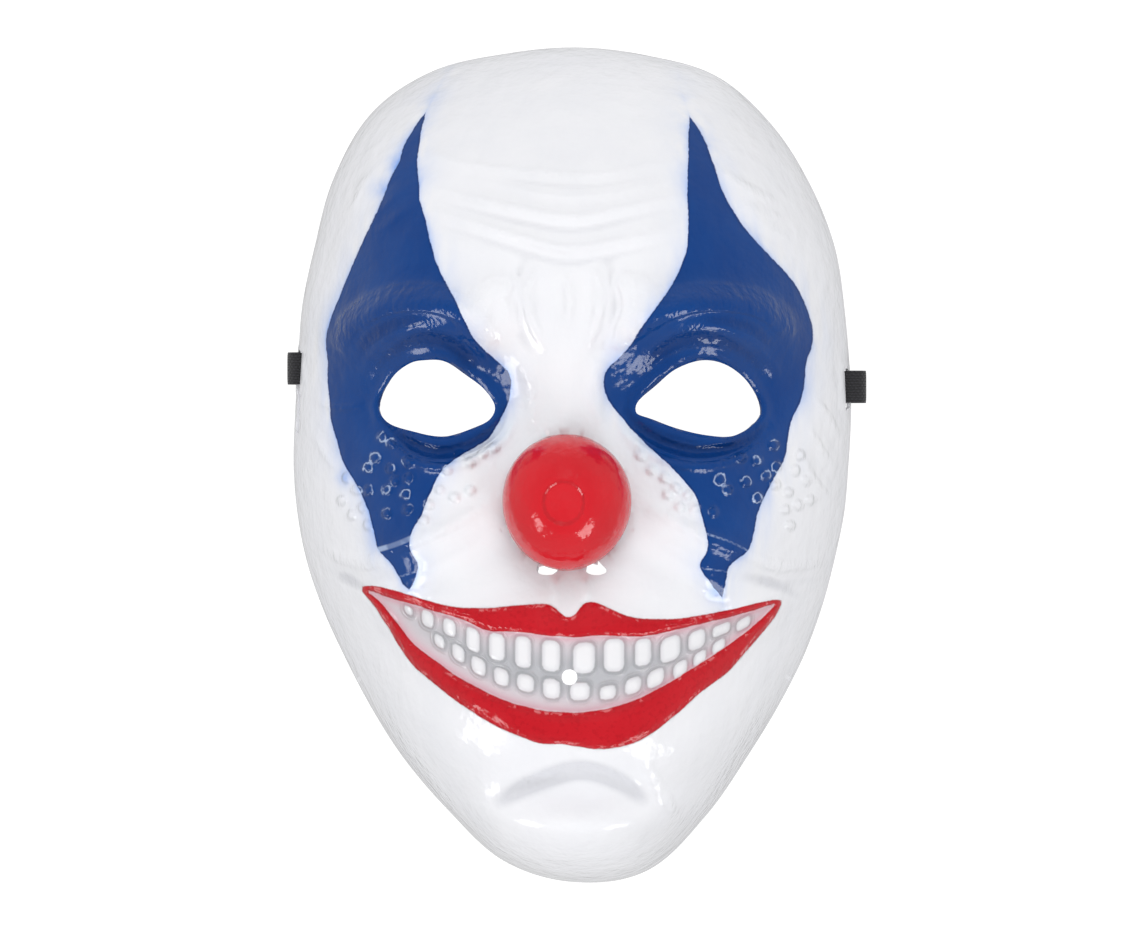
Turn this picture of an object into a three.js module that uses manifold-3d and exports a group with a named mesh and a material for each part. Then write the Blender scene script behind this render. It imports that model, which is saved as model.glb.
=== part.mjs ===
// A clown mask moulded from one thin sheet, lying face up on its rim, and its flat elastic strap.
// Millimetres. X runs to the right of the face, Y to the top of the forehead, Z out of the face.
import * as THREE from "three";
import Module from "manifold-3d";

const wasm = await Module();
wasm.setup();

// Driving sizes.
const HALF_HEIGHT = 130; // half the height of the mask, chin to top of forehead
const FACE_DEPTH = 70; // height of the dome over the floor, without the nose
const WALL = 1.2; // thickness of the moulded sheet
const OUTER_RINGS = 23; // rings of the outer surface, centre to rim
const INNER_RINGS = 15; // rings of the inner surface
const RING_CROWDING = 1.35; // how much closer the rings lie towards the rim
const WALL_POWER = 0.75; // roundness of the shoulder between face and side wall
const NOSE = { x: 0, y: -11.3, z: 65, across: 19.2, along: 20.2, out: 21 };
const NOSE_DIMPLE = { radius: 6.2, depth: 1.1 };
const EYE = { inner: 21, width: 36.8, rim: 2.6, lift: 1.3 };
const LIP = { upperLift: 1.7, lowerLift: 2.6 };
const TOOTH_LIFT = 0.9;
const NOSTRIL = { y: -31.9, left: -6.2, right: 8.7, width: 4.6, height: 1.7 };
const BREATHING_HOLE = { x: 1, y: -63.2, diameter: 4.8 };
const WRINKLE = { width: 5.4, lift: 0.9 };
const STRAP = { width: 10, thickness: 0.9, rise: 38, bow: 1.4, overlap: 9 };
const CUT_HEIGHT = 110; // height of the straight cutters, over the tip of the nose
const CUT_DEPTH = 5; // how far a cutter reaches below the floor
const ARCH = { width: 14, height: 2.3, flare: 1.5 };
const EDGE_STEP = 0.3; // height of the crisp edge around a raised piece
const EMBED = 3; // how far raised pieces run down into the sheet before they are trimmed

// The trimmed outline: distance from the middle, as a share of HALF_HEIGHT, every ten degrees from +X.
const OUTLINE_STEP = 10;
const OUTLINE = [
  0.653, 0.669, 0.697, 0.743, 0.809, 0.873, 0.938, 0.988, 0.994, 0.999, 0.999, 1.004,
  0.977, 0.903, 0.819, 0.76, 0.711, 0.686, 0.679, 0.68, 0.688, 0.701, 0.724, 0.764,
  0.82, 0.886, 0.968, 1.002, 0.989, 0.901, 0.815, 0.755, 0.713, 0.681, 0.66, 0.653,
];

// Height of the dome along the middle line, chin to forehead: up as a share of HALF_HEIGHT, dome of FACE_DEPTH.
const MIDDLE_LINE = [
  { up: -1.0, dome: 1.2 },
  { up: -0.91, dome: 1.17 },
  { up: -0.83, dome: 1.1 },
  { up: -0.75, dome: 0.99 },
  { up: -0.66, dome: 1.01 },
  { up: -0.54, dome: 1.0 },
  { up: -0.38, dome: 0.97 },
  { up: -0.23, dome: 0.9 },
  { up: -0.08, dome: 0.86 },
  { up: 0.09, dome: 0.86 },
  { up: 0.29, dome: 0.94 },
  { up: 0.46, dome: 1.0 },
  { up: 0.69, dome: 1.04 },
  { up: 1.0, dome: 1.06 },
];

// Rounded swellings and hollows: place and spread as shares of HALF_HEIGHT, lift as a share of FACE_DEPTH.
const FORMS = [
  { name: "forehead", x: 0, y: 0.6, across: 0.37, along: 0.23, turn: 0, lift: 0.04, pair: false },
  { name: "brow", x: 0.34, y: 0.325, across: 0.19, along: 0.065, turn: -4, lift: 0.1, pair: true },
  { name: "between brows", x: 0, y: 0.26, across: 0.09, along: 0.1, turn: 0, lift: 0.03, pair: false },
  { name: "nose bridge", x: 0, y: 0.06, across: 0.08, along: 0.17, turn: 0, lift: 0.09, pair: false },
  { name: "eye socket", x: 0.31, y: 0.15, across: 0.17, along: 0.1, turn: 0, lift: -0.12, pair: true },
  { name: "eye bag", x: 0.29, y: 0.0, across: 0.15, along: 0.05, turn: 14, lift: 0.035, pair: true },
  { name: "cheek", x: 0.36, y: -0.17, across: 0.15, along: 0.14, turn: 0, lift: 0.085, pair: true },
  { name: "smile crease", x: 0.3, y: -0.3, across: 0.2, along: 0.035, turn: -38, lift: -0.03, pair: true },
  { name: "muzzle", x: 0, y: -0.45, across: 0.37, along: 0.19, turn: 0, lift: 0.05, pair: false },
  { name: "under the lip", x: 0, y: -0.735, across: 0.2, along: 0.06, turn: 0, lift: -0.05, pair: false },
  { name: "chin", x: 0.01, y: -0.85, across: 0.15, along: 0.09, turn: 0, lift: 0.05, pair: false },
  { name: "temple", x: 0.55, y: 0.42, across: 0.09, along: 0.17, turn: 0, lift: -0.03, pair: true },
];

// An eye hole, inner to outer corner: along as a share of EYE.width, lids as shares of HALF_HEIGHT.
const EYE_LIDS = [
  { along: 0.0, upper: 0.13, lower: 0.122 },
  { along: 0.1, upper: 0.167, lower: 0.101 },
  { along: 0.25, upper: 0.204, lower: 0.084 },
  { along: 0.4, upper: 0.231, lower: 0.071 },
  { along: 0.55, upper: 0.239, lower: 0.065 },
  { along: 0.7, upper: 0.232, lower: 0.067 },
  { along: 0.85, upper: 0.201, lower: 0.079 },
  { along: 0.95, upper: 0.162, lower: 0.099 },
  { along: 1.0, upper: 0.125, lower: 0.123 },
];

// The lips, left to right, all as shares of HALF_HEIGHT: the red's edges and the edges towards the teeth.
const MOUTH = [
  { x: -0.485, outerTop: -0.285, innerTop: -0.291, innerLow: -0.294, outerLow: -0.3 },
  { x: -0.431, outerTop: -0.287, innerTop: -0.305, innerLow: -0.336, outerLow: -0.371 },
  { x: -0.369, outerTop: -0.301, innerTop: -0.322, innerLow: -0.407, outerLow: -0.458 },
  { x: -0.308, outerTop: -0.318, innerTop: -0.339, innerLow: -0.452, outerLow: -0.507 },
  { x: -0.246, outerTop: -0.329, innerTop: -0.355, innerLow: -0.492, outerLow: -0.55 },
  { x: -0.185, outerTop: -0.329, innerTop: -0.38, innerLow: -0.522, outerLow: -0.587 },
  { x: -0.123, outerTop: -0.324, innerTop: -0.384, innerLow: -0.546, outerLow: -0.616 },
  { x: -0.062, outerTop: -0.319, innerTop: -0.389, innerLow: -0.56, outerLow: -0.637 },
  { x: -0.031, outerTop: -0.325, innerTop: -0.393, innerLow: -0.563, outerLow: -0.639 },
  { x: 0.0, outerTop: -0.348, innerTop: -0.395, innerLow: -0.565, outerLow: -0.64 },
  { x: 0.031, outerTop: -0.328, innerTop: -0.395, innerLow: -0.566, outerLow: -0.645 },
  { x: 0.062, outerTop: -0.315, innerTop: -0.392, innerLow: -0.562, outerLow: -0.65 },
  { x: 0.123, outerTop: -0.342, innerTop: -0.394, innerLow: -0.55, outerLow: -0.645 },
  { x: 0.185, outerTop: -0.354, innerTop: -0.393, innerLow: -0.526, outerLow: -0.622 },
  { x: 0.246, outerTop: -0.355, innerTop: -0.381, innerLow: -0.494, outerLow: -0.577 },
  { x: 0.308, outerTop: -0.347, innerTop: -0.367, innerLow: -0.456, outerLow: -0.524 },
  { x: 0.369, outerTop: -0.337, innerTop: -0.354, innerLow: -0.418, outerLow: -0.479 },
  { x: 0.431, outerTop: -0.323, innerTop: -0.338, innerLow: -0.372, outerLow: -0.412 },
  { x: 0.489, outerTop: -0.316, innerTop: -0.324, innerLow: -0.327, outerLow: -0.336 },
];

// The teeth, left to right, in shares of HALF_HEIGHT: middle of the tooth, its width and its height.
const UPPER_TEETH = [
  { x: -0.371, y: -0.339, wide: 0.021, tall: 0.021 },
  { x: -0.325, y: -0.358, wide: 0.03, tall: 0.037 },
  { x: -0.272, y: -0.376, wide: 0.03, tall: 0.039 },
  { x: -0.216, y: -0.403, wide: 0.032, tall: 0.053 },
  { x: -0.16, y: -0.418, wide: 0.037, tall: 0.062 },
  { x: -0.099, y: -0.429, wide: 0.037, tall: 0.071 },
  { x: -0.035, y: -0.438, wide: 0.042, tall: 0.071 },
  { x: 0.041, y: -0.442, wide: 0.05, tall: 0.071 },
  { x: 0.109, y: -0.436, wide: 0.046, tall: 0.075 },
  { x: 0.175, y: -0.43, wide: 0.037, tall: 0.062 },
  { x: 0.236, y: -0.424, wide: 0.046, tall: 0.058 },
  { x: 0.296, y: -0.405, wide: 0.039, tall: 0.044 },
  { x: 0.352, y: -0.382, wide: 0.042, tall: 0.025 },
  { x: 0.403, y: -0.37, wide: 0.032, tall: 0.025 },
];
const LOWER_TEETH = [
  { x: -0.296, y: -0.408, wide: 0.025, tall: 0.028 },
  { x: -0.251, y: -0.435, wide: 0.03, tall: 0.037 },
  { x: -0.203, y: -0.463, wide: 0.035, tall: 0.039 },
  { x: -0.149, y: -0.487, wide: 0.035, tall: 0.039 },
  { x: -0.093, y: -0.5, wide: 0.039, tall: 0.039 },
  { x: -0.033, y: -0.512, wide: 0.039, tall: 0.045 },
  { x: 0.032, y: -0.518, wide: 0.045, tall: 0.041 },
  { x: 0.095, y: -0.521, wide: 0.037, tall: 0.032 },
  { x: 0.152, y: -0.505, wide: 0.037, tall: 0.037 },
  { x: 0.203, y: -0.489, wide: 0.039, tall: 0.039 },
  { x: 0.258, y: -0.47, wide: 0.032, tall: 0.035 },
  { x: 0.303, y: -0.446, wide: 0.03, tall: 0.03 },
  { x: 0.346, y: -0.421, wide: 0.03, tall: 0.028 },
];

// The three long forehead wrinkles, in shares of HALF_HEIGHT: ends, height at the ends and sag in the middle.
const WRINKLES = [
  { left: -0.33, right: 0.3, y: 0.715, sag: 0.062 },
  { left: -0.32, right: 0.3, y: 0.63, sag: 0.07 },
  { left: -0.31, right: 0.29, y: 0.57, sag: 0.088 },
];

// Where the strap goes through each side wall: its middle as a share of HALF_HEIGHT, how far its loop stands
// out over the rim, how far the slot runs past its middle each way, and the slot's edges over the floor.
const STRAP_ENDS = [
  { side: -1, y: 0.229, standOff: 2.8, below: 20.4, above: 5.6, floor: 5, ceiling: 8 },
  { side: 1, y: 0.184, standOff: 4.8, below: 7.3, above: 5.6, floor: 5, ceiling: 8 },
];

// A smooth curve through values at rising keys; its slope at a key is that between the neighbours.
function along(keys, values, at) {
  const last = keys.length - 1;
  let i = 0;
  while (i < last - 1 && at > keys[i + 1]) i++;
  const span = keys[i + 1] - keys[i];
  const t = THREE.MathUtils.clamp((at - keys[i]) / span, 0, 1);
  const slope = (k) => {
    const a = Math.max(k - 1, 0);
    const b = Math.min(k + 1, last);
    return (values[b] - values[a]) / (keys[b] - keys[a]);
  };
  const rise = values[i + 1] - values[i];
  const start = slope(i) * span;
  const end = slope(i + 1) * span;
  const square = t * t;
  const cube = square * t;
  return (
    values[i] + start * (cube - 2 * square + t) + end * (cube - square) + rise * (3 * square - 2 * cube)
  );
}

const OUTLINE_KEYS = [...Array(OUTLINE.length + 3).keys()].map((k) => (k - 1) * OUTLINE_STEP);
const OUTLINE_VALUES = [OUTLINE.at(-1), ...OUTLINE, OUTLINE[0], OUTLINE[1]];
const MIDDLE_KEYS = MIDDLE_LINE.map((row) => row.up);
const MIDDLE_VALUES = MIDDLE_LINE.map((row) => row.dome);

// Distance from the middle to the rim in the direction of an angle.
function rimRadius(angle) {
  const degrees = THREE.MathUtils.euclideanModulo(THREE.MathUtils.radToDeg(angle), 360);
  return HALF_HEIGHT * along(OUTLINE_KEYS, OUTLINE_VALUES, degrees);
}

// How far out the rim lies on one side, level with y.
function rimAt(side, y) {
  let x = side * HALF_HEIGHT * 0.66;
  for (let k = 0; k < 12; k++) x = side * Math.sqrt(rimRadius(Math.atan2(y, x)) ** 2 - y * y);
  return Math.abs(x);
}

// One swelling or hollow: a bell with its own spread across and along, turned in the plane of the face.
function bell(form, mirror, x, y) {
  const turn = THREE.MathUtils.degToRad(form.turn);
  const dx = mirror * x - form.x * HALF_HEIGHT;
  const dy = y - form.y * HALF_HEIGHT;
  const across = (dx * Math.cos(turn) + dy * Math.sin(turn)) / (form.across * HALF_HEIGHT);
  const along = (dy * Math.cos(turn) - dx * Math.sin(turn)) / (form.along * HALF_HEIGHT);
  return form.lift * FACE_DEPTH * Math.exp(-across * across - along * along);
}

// Height of the outer surface over the floor: a dome that ends in steep side walls, and the forms on it.
// The inner surface follows with softer swellings and deeper hollows, so that the sheet never grows thin.
function faceHeight(x, y, softness = 0) {
  const share = Math.min(Math.hypot(x, y) / rimRadius(Math.atan2(y, x)), 1);
  const squareness = 3 + 5 * THREE.MathUtils.smoothstep(-y, 50, 110);
  const dome = FACE_DEPTH * along(MIDDLE_KEYS, MIDDLE_VALUES, y / HALF_HEIGHT);
  let forms = 0;
  for (const form of FORMS) {
    const share = form.lift > 0 ? 1 - softness : 1 + softness;
    forms += share * bell(form, 1, x, y);
    if (form.pair) forms += share * bell(form, -1, x, y);
  }
  return dome * (1 - share ** squareness) ** WALL_POWER + forms * (1 - share ** 10);
}

// A manifold solid from points and triangles.
function solidFrom(points, triangles) {
  const mesh = new wasm.Mesh({
    numProp: 3,
    vertProperties: new Float32Array(points.flat()),
    triVerts: new Uint32Array(triangles.flat()),
  });
  return new wasm.Manifold(mesh);
}

// A manifold solid from a three.js geometry, with equal corners made one.
function solidOf(geometry) {
  const position = geometry.getAttribute("position");
  const index = geometry.index ? [...geometry.index.array] : [...Array(position.count).keys()];
  const found = new Map();
  const points = [];
  const slot = index.map((k) => {
    const p = [position.getX(k), position.getY(k), position.getZ(k)].map((v) => +v.toFixed(4));
    const key = p.join();
    if (!found.has(key)) {
      found.set(key, points.length);
      points.push(p);
    }
    return found.get(key);
  });
  const triangles = [];
  for (let k = 0; k < slot.length; k += 3) {
    const [a, b, c] = slot.slice(k, k + 3);
    if (a !== b && b !== c && c !== a) triangles.push([a, b, c]);
  }
  return solidFrom(points, triangles);
}

// The surface as square rings from the middle to the rim: rows of points, each row rising in y.
function ringGrid(rings, softness) {
  const rows = [];
  for (let j = -rings; j <= rings; j++) {
    const row = [];
    for (let i = -rings; i <= rings; i++) {
      const ring = Math.max(Math.abs(i), Math.abs(j));
      const share = 1 - (1 - ring / rings) ** RING_CROWDING;
      const angle = squareAngle(i, j);
      const reach = share * rimRadius(angle);
      const x = reach * Math.cos(angle);
      const y = reach * Math.sin(angle);
      row.push([x, y, ring === rings ? 0 : faceHeight(x, y, softness)]);
    }
    rows.push(row);
  }
  return rows;
}

// The direction of a grid point, spread evenly along the four sides of its square ring.
function squareAngle(i, j) {
  const quarter = Math.PI / 4;
  if (i === 0 && j === 0) return 0;
  if (Math.abs(i) >= Math.abs(j)) return i > 0 ? (quarter * j) / i : Math.PI + (quarter * j) / i;
  return j > 0 ? 2 * quarter - (quarter * i) / j : -2 * quarter - (quarter * i) / j;
}

// Two triangles for each cell; the cut runs outwards from the middle so that no corner cell folds flat.
function gridTriangles(size) {
  const triangles = [];
  for (let j = 0; j < size - 1; j++) {
    for (let i = 0; i < size - 1; i++) {
      const a = j * size + i;
      const [b, c, d] = [a + 1, a + 1 + size, a + size];
      const outward = i + 0.5 < (size - 1) / 2 === j + 0.5 < (size - 1) / 2;
      if (outward) triangles.push([a, b, c], [a, c, d]);
      else triangles.push([a, b, d], [b, c, d]);
    }
  }
  return triangles;
}

// The grid's outer edge, anticlockwise.
function edgeLoop(size) {
  const loop = [];
  const last = size - 1;
  for (let i = 0; i < last; i++) loop.push(i);
  for (let j = 0; j < last; j++) loop.push(j * size + last);
  for (let i = last; i > 0; i--) loop.push(last * size + i);
  for (let j = last; j > 0; j--) loop.push(j * size);
  return loop;
}

// The block under a surface grid, closed by a skirt down to a level and a flat base.
function blockUnder(points, size, level) {
  const all = points.map((p) => [...p]);
  const triangles = gridTriangles(size);
  const loop = edgeLoop(size);
  let base = loop;
  if (level < 0) {
    base = loop.map((k) => all.push([all[k][0], all[k][1], level]) - 1);
    loop.forEach((a, k) => {
      const next = (k + 1) % loop.length;
      triangles.push([a, base[k], base[next]], [a, base[next], loop[next]]);
    });
  }
  const middle = all.push([0, 0, level]) - 1;
  base.forEach((a, k) => triangles.push([a, middle, base[(k + 1) % base.length]]));
  return solidFrom(all, triangles);
}

// Points moved inwards, square to the surface, by the thickness of the sheet.
function offsetInwards(points, size, distance) {
  const geometry = new THREE.BufferGeometry();
  geometry.setAttribute("position", new THREE.Float32BufferAttribute(points.flat(), 3));
  geometry.setIndex(gridTriangles(size).flat());
  geometry.computeVertexNormals();
  const normal = geometry.getAttribute("normal");
  return points.map(([x, y, z], k) => [
    x - distance * normal.getX(k),
    y - distance * normal.getY(k),
    z - distance * normal.getZ(k),
  ]);
}

// A solid through rings of points; an open row of rings is closed with a flat fan at both ends.
function loft(rings, closed) {
  const count = rings[0].length;
  const points = rings.flat();
  const triangles = [];
  const steps = closed ? rings.length : rings.length - 1;
  for (let k = 0; k < steps; k++) {
    const next = (k + 1) % rings.length;
    for (let i = 0; i < count; i++) {
      const [a, b] = [k * count + i, k * count + ((i + 1) % count)];
      const [c, d] = [next * count + ((i + 1) % count), next * count + i];
      triangles.push([a, b, c], [a, c, d]);
    }
  }
  if (!closed) {
    const end = (rings.length - 1) * count;
    for (let i = 1; i < count - 1; i++) {
      triangles.push([0, i + 1, i], [end, end + i, end + i + 1]);
    }
  }
  const made = solidFrom(points, triangles);
  if (made.volume() > 0) return made;
  return solidFrom(points, triangles.map(([a, b, c]) => [a, c, b]));
}

// A rounded ridge that follows the face: low at both edges and raised between them.
const RIDGE_SECTION = [
  { across: 0, raised: 0 },
  { across: 0.3, raised: 0.95 },
  { across: 0.7, raised: 0.95 },
  { across: 1, raised: 0 },
];
function ridgeRing(from, to, lift) {
  const ring = RIDGE_SECTION.map(({ across, raised }) => {
    const x = THREE.MathUtils.lerp(from[0], to[0], across);
    const y = THREE.MathUtils.lerp(from[1], to[1], across);
    return [x, y, faceHeight(x, y) + EDGE_STEP + lift * raised];
  });
  const [first, last] = [ring[0], ring.at(-1)];
  return [...ring, [last[0], last[1], last[2] - EMBED], [first[0], first[1], first[2] - EMBED]];
}

// Height of one edge of the mouth at x.
function mouthEdge(column, x) {
  const keys = MOUTH.map((row) => row.x);
  return HALF_HEIGHT * along(keys, MOUTH.map((row) => row[column]), x / HALF_HEIGHT);
}

function makeLip(top, low, lift, stations) {
  const [start, end] = [MOUTH[0].x * HALF_HEIGHT, MOUTH.at(-1).x * HALF_HEIGHT];
  const rings = [];
  for (let k = 0; k <= stations; k++) {
    const x = THREE.MathUtils.lerp(start, end, k / stations);
    const taper = Math.min(1, 0.25 + 6 * (k / stations) * (1 - k / stations));
    rings.push(ridgeRing([x, mouthEdge(top, x)], [x, mouthEdge(low, x)], lift * taper));
  }
  return loft(rings, false);
}

// A tooth: an eight-sided boss with a narrower top, turned square to the curve of its row.
const TOOTH_CORNERS = [
  [0.5, 0.28], [0.3, 0.5], [-0.3, 0.5], [-0.5, 0.28], [-0.5, -0.28], [-0.3, -0.5], [0.3, -0.5], [0.5, -0.28],
];
function makeTooth(tooth, slope) {
  const turn = Math.atan(slope);
  const ring = (grow, lift) =>
    TOOTH_CORNERS.map(([across, up]) => {
      const dx = across * (tooth.wide * HALF_HEIGHT + grow);
      const dy = up * (tooth.tall * HALF_HEIGHT + grow);
      const x = tooth.x * HALF_HEIGHT + dx * Math.cos(turn) - dy * Math.sin(turn);
      const y = tooth.y * HALF_HEIGHT + dx * Math.sin(turn) + dy * Math.cos(turn);
      return [x, y, faceHeight(x, y) + lift];
    });
  return loft([ring(1.2, -1.5), ring(0, TOOTH_LIFT)], false);
}

function makeTeeth(row) {
  return row.map((tooth, k) => {
    const before = row[Math.max(k - 1, 0)];
    const after = row[Math.min(k + 1, row.length - 1)];
    return makeTooth(tooth, (0.6 * (after.y - before.y)) / (after.x - before.x));
  });
}

function makeWrinkle(row) {
  const stations = 12;
  const rings = [];
  for (let k = 0; k <= stations; k++) {
    const t = k / stations;
    const bow = 4 * t * (1 - t);
    const x = HALF_HEIGHT * THREE.MathUtils.lerp(row.left, row.right, t);
    const y = HALF_HEIGHT * (row.y - row.sag * bow);
    const half = (WRINKLE.width / 2) * (0.35 + 0.65 * Math.sqrt(bow));
    rings.push(ridgeRing([x, y + half], [x, y - half], 0.3 + WRINKLE.lift * Math.sqrt(bow)));
  }
  return loft(rings, false);
}

// The outline of one eye hole, anticlockwise, each corner moved outwards by grow.
function eyeOutline(side, grow) {
  const keys = EYE_LIDS.map((row) => row.along);
  const uppers = EYE_LIDS.map((row) => row.upper);
  const lowers = EYE_LIDS.map((row) => row.lower);
  const steps = 12;
  const middle = [EYE.inner + EYE.width / 2, 0.152 * HALF_HEIGHT];
  const points = [];
  for (let k = 0; k < 2 * steps; k++) {
    const below = k >= steps;
    const t = (1 - Math.cos((Math.PI * (k % steps)) / steps)) / 2;
    const share = below ? t : 1 - t;
    const x = EYE.inner + EYE.width * share;
    const y = HALF_HEIGHT * along(keys, below ? lowers : uppers, share);
    const away = Math.hypot(x - middle[0], y - middle[1]);
    const wider = 1 + grow / away;
    points.push([middle[0] + (x - middle[0]) * wider, middle[1] + (y - middle[1]) * wider]);
  }
  return side > 0 ? points : points.map(([x, y]) => [-x, y]).reverse();
}

function makeEyeRim(side) {
  const inner = eyeOutline(side, -0.6);
  const outer = eyeOutline(side, EYE.rim);
  return loft(inner.map((p, k) => ridgeRing(p, outer[k], EYE.lift)), true);
}

// A straight cut along Z with the outline of a list of points.
function cutterAlongZ(points) {
  const shape = new THREE.Shape(points.map(([x, y]) => new THREE.Vector2(x, y)));
  const depth = CUT_HEIGHT + CUT_DEPTH;
  const geometry = new THREE.ExtrudeGeometry(shape, { depth, bevelEnabled: false });
  geometry.translate(0, 0, -CUT_DEPTH);
  return solidOf(geometry);
}

function ovalPoints(x, y, width, height) {
  const count = 8;
  const points = [];
  for (let k = 0; k < count; k++) {
    const angle = (2 * Math.PI * (k + 0.5)) / count;
    points.push([x + (width / 2) * Math.cos(angle), y + (height / 2) * Math.sin(angle)]);
  }
  return points;
}

// A cut through a side wall along X with an outline in Y and Z.
function cutterAlongX(outline, side, rim) {
  const shape = new THREE.Shape(outline.map(([y, z]) => new THREE.Vector2(y, z)));
  const depth = 30;
  const geometry = new THREE.ExtrudeGeometry(shape, { depth, bevelEnabled: false });
  geometry.rotateX(Math.PI / 2);
  geometry.rotateZ(Math.PI / 2);
  geometry.translate(side * rim - depth / 2, 0, 0);
  return solidOf(geometry);
}

function strapCuts(end) {
  const corner = 0.8;
  const y = end.y * HALF_HEIGHT;
  const [low, high] = [y - end.below, y + end.above];
  const slot = [
    [low + corner, end.floor],
    [high - corner, end.floor],
    [high, end.floor + corner],
    [high, end.ceiling - corner],
    [high - corner, end.ceiling],
    [low + corner, end.ceiling],
    [low, end.ceiling - corner],
    [low, end.floor + corner],
  ];
  const half = ARCH.width / 2;
  const arch = [
    [y - half - ARCH.flare, -1],
    [y + half + ARCH.flare, -1],
    [y + half, ARCH.height * 0.75],
    [y + half - ARCH.flare, ARCH.height],
    [y - half + ARCH.flare, ARCH.height],
    [y - half, ARCH.height * 0.75],
  ];
  const rim = rimAt(end.side, y);
  return [cutterAlongX(slot, end.side, rim), cutterAlongX(arch, end.side, rim)];
}

// The ball nose, larger by grow than the hollow in it, with a shallow round dimple on its front.
function noseBall(grow, around, down) {
  const ball = new THREE.SphereGeometry(1, around, down);
  ball.rotateX(Math.PI / 2);
  ball.scale(NOSE.across + grow, NOSE.along + grow, NOSE.out + grow);
  ball.translate(NOSE.x, NOSE.y, NOSE.z);
  return solidOf(ball);
}

function noseDimple() {
  const top = NOSE.z + NOSE.out;
  const disc = new THREE.SphereGeometry(1, 16, 6);
  disc.rotateX(Math.PI / 2);
  disc.scale(NOSE_DIMPLE.radius, NOSE_DIMPLE.radius, NOSE_DIMPLE.depth + 0.6);
  disc.translate(NOSE.x, NOSE.y, top);
  return solidOf(disc);
}

function makeShell() {
  const outerPoints = ringGrid(OUTER_RINGS, 0).flat();
  const innerPoints = ringGrid(INNER_RINGS, 0.2).flat();
  const innerSize = 2 * INNER_RINGS + 1;
  let body = blockUnder(outerPoints, 2 * OUTER_RINGS + 1, 0);
  const hollow = blockUnder(offsetInwards(innerPoints, innerSize, WALL), innerSize, -5);
  const raised = [
    makeLip("outerTop", "innerTop", LIP.upperLift, 24),
    makeLip("innerLow", "outerLow", LIP.lowerLift, 24),
    ...makeTeeth(UPPER_TEETH),
    ...makeTeeth(LOWER_TEETH),
    ...WRINKLES.map(makeWrinkle),
    makeEyeRim(-1),
    makeEyeRim(1),
    noseBall(0, 26, 14).subtract(noseDimple()),
  ];
  for (const piece of raised) body = body.add(piece);
  const cuts = [
    hollow,
    noseBall(-2 * WALL, 14, 9),
    cutterAlongZ(eyeOutline(-1, 0)),
    cutterAlongZ(eyeOutline(1, 0)),
    cutterAlongZ(ovalPoints(NOSTRIL.left, NOSTRIL.y, NOSTRIL.width, NOSTRIL.height)),
    cutterAlongZ(ovalPoints(NOSTRIL.right, NOSTRIL.y, NOSTRIL.width, NOSTRIL.height)),
    cutterAlongZ(
      ovalPoints(BREATHING_HOLE.x, BREATHING_HOLE.y, BREATHING_HOLE.diameter, BREATHING_HOLE.diameter),
    ),
    ...STRAP_ENDS.flatMap(strapCuts),
  ];
  for (const cut of cuts) body = body.subtract(cut);
  return body.simplify(0.05);
}

// The strap's middle line: over its own end inside, out through the slot, round the rim and across the floor.
function strapEnd(end) {
  const y = end.y * HALF_HEIGHT;
  const rim = rimAt(end.side, y);
  const out = rim + end.standOff - STRAP.thickness / 2;
  const low = STRAP.thickness / 2 + 0.05;
  const stacked = low + STRAP.thickness + 0.2;
  const wall = rim - 2.2;
  const turn = wall - 4.5;
  return [
    [turn - STRAP.overlap, stacked],
    [turn - STRAP.overlap / 2, stacked],
    [turn - 0.6, stacked + 0.1],
    [turn + 1.9, stacked + 1.6],
    [wall - 1.0, 5.9],
    [wall + 0.9, 6.6],
    [out - 1.5, 6.3],
    [out, 4.4],
    [out - 0.5, 2.2],
    [out - 2.4, low + 0.3],
    [wall - 0.5, low],
    [turn, low],
    [turn - STRAP.overlap, low],
  ].map(([x, z]) => new THREE.Vector3(end.side * x, y, z));
}

// How far up the face the strap lies on the floor, at x between its two ends: clear of both eye holes.
function strapLift(x, left, right) {
  const t = THREE.MathUtils.clamp((x - left.x) / (right.x - left.x), 0, 1);
  return THREE.MathUtils.lerp(left.y, right.y, t) + STRAP.rise * Math.sin(Math.PI * t) ** STRAP.bow;
}

function strapLine() {
  const [leftEnd, rightEnd] = STRAP_ENDS.map(strapEnd);
  const [left, right] = [leftEnd.at(-1), rightEnd.at(-1)];
  const floor = [];
  const steps = 16;
  for (let k = 1; k < steps; k++) {
    const x = THREE.MathUtils.lerp(left.x, right.x, k / steps);
    floor.push(new THREE.Vector3(x, strapLift(x, left, right), left.z));
  }
  return new THREE.CatmullRomCurve3([...leftEnd, ...floor, ...rightEnd.reverse()], false, "centripetal");
}

function makeStrap() {
  const line = strapLine();
  const straight = rimAt(1, 0) * 0.79; // beyond this the strap runs straight across the rim
  const stations = 72;
  const rings = [];
  let before = new THREE.Vector3(0, 1, 0);
  for (let k = 0; k <= stations; k++) {
    const at = line.getPointAt(k / stations);
    const forward = line.getTangentAt(k / stations);
    const flat = new THREE.Vector3(0, 0, 1).cross(forward);
    const across = Math.abs(at.x) > straight ? new THREE.Vector3(0, 1, 0) : flat.setZ(0).normalize();
    if (across.dot(before) < 0) across.negate();
    before = across;
    const up = across.clone().cross(forward).normalize();
    const ring = [[-1, -1], [1, -1], [1, 1], [-1, 1]].map(([wide, thick]) =>
      at
        .clone()
        .addScaledVector(across, (wide * STRAP.width) / 2)
        .addScaledVector(up, (thick * STRAP.thickness) / 2)
        .toArray(),
    );
    rings.push(ring);
  }
  return loft(rings, false);
}

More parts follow.
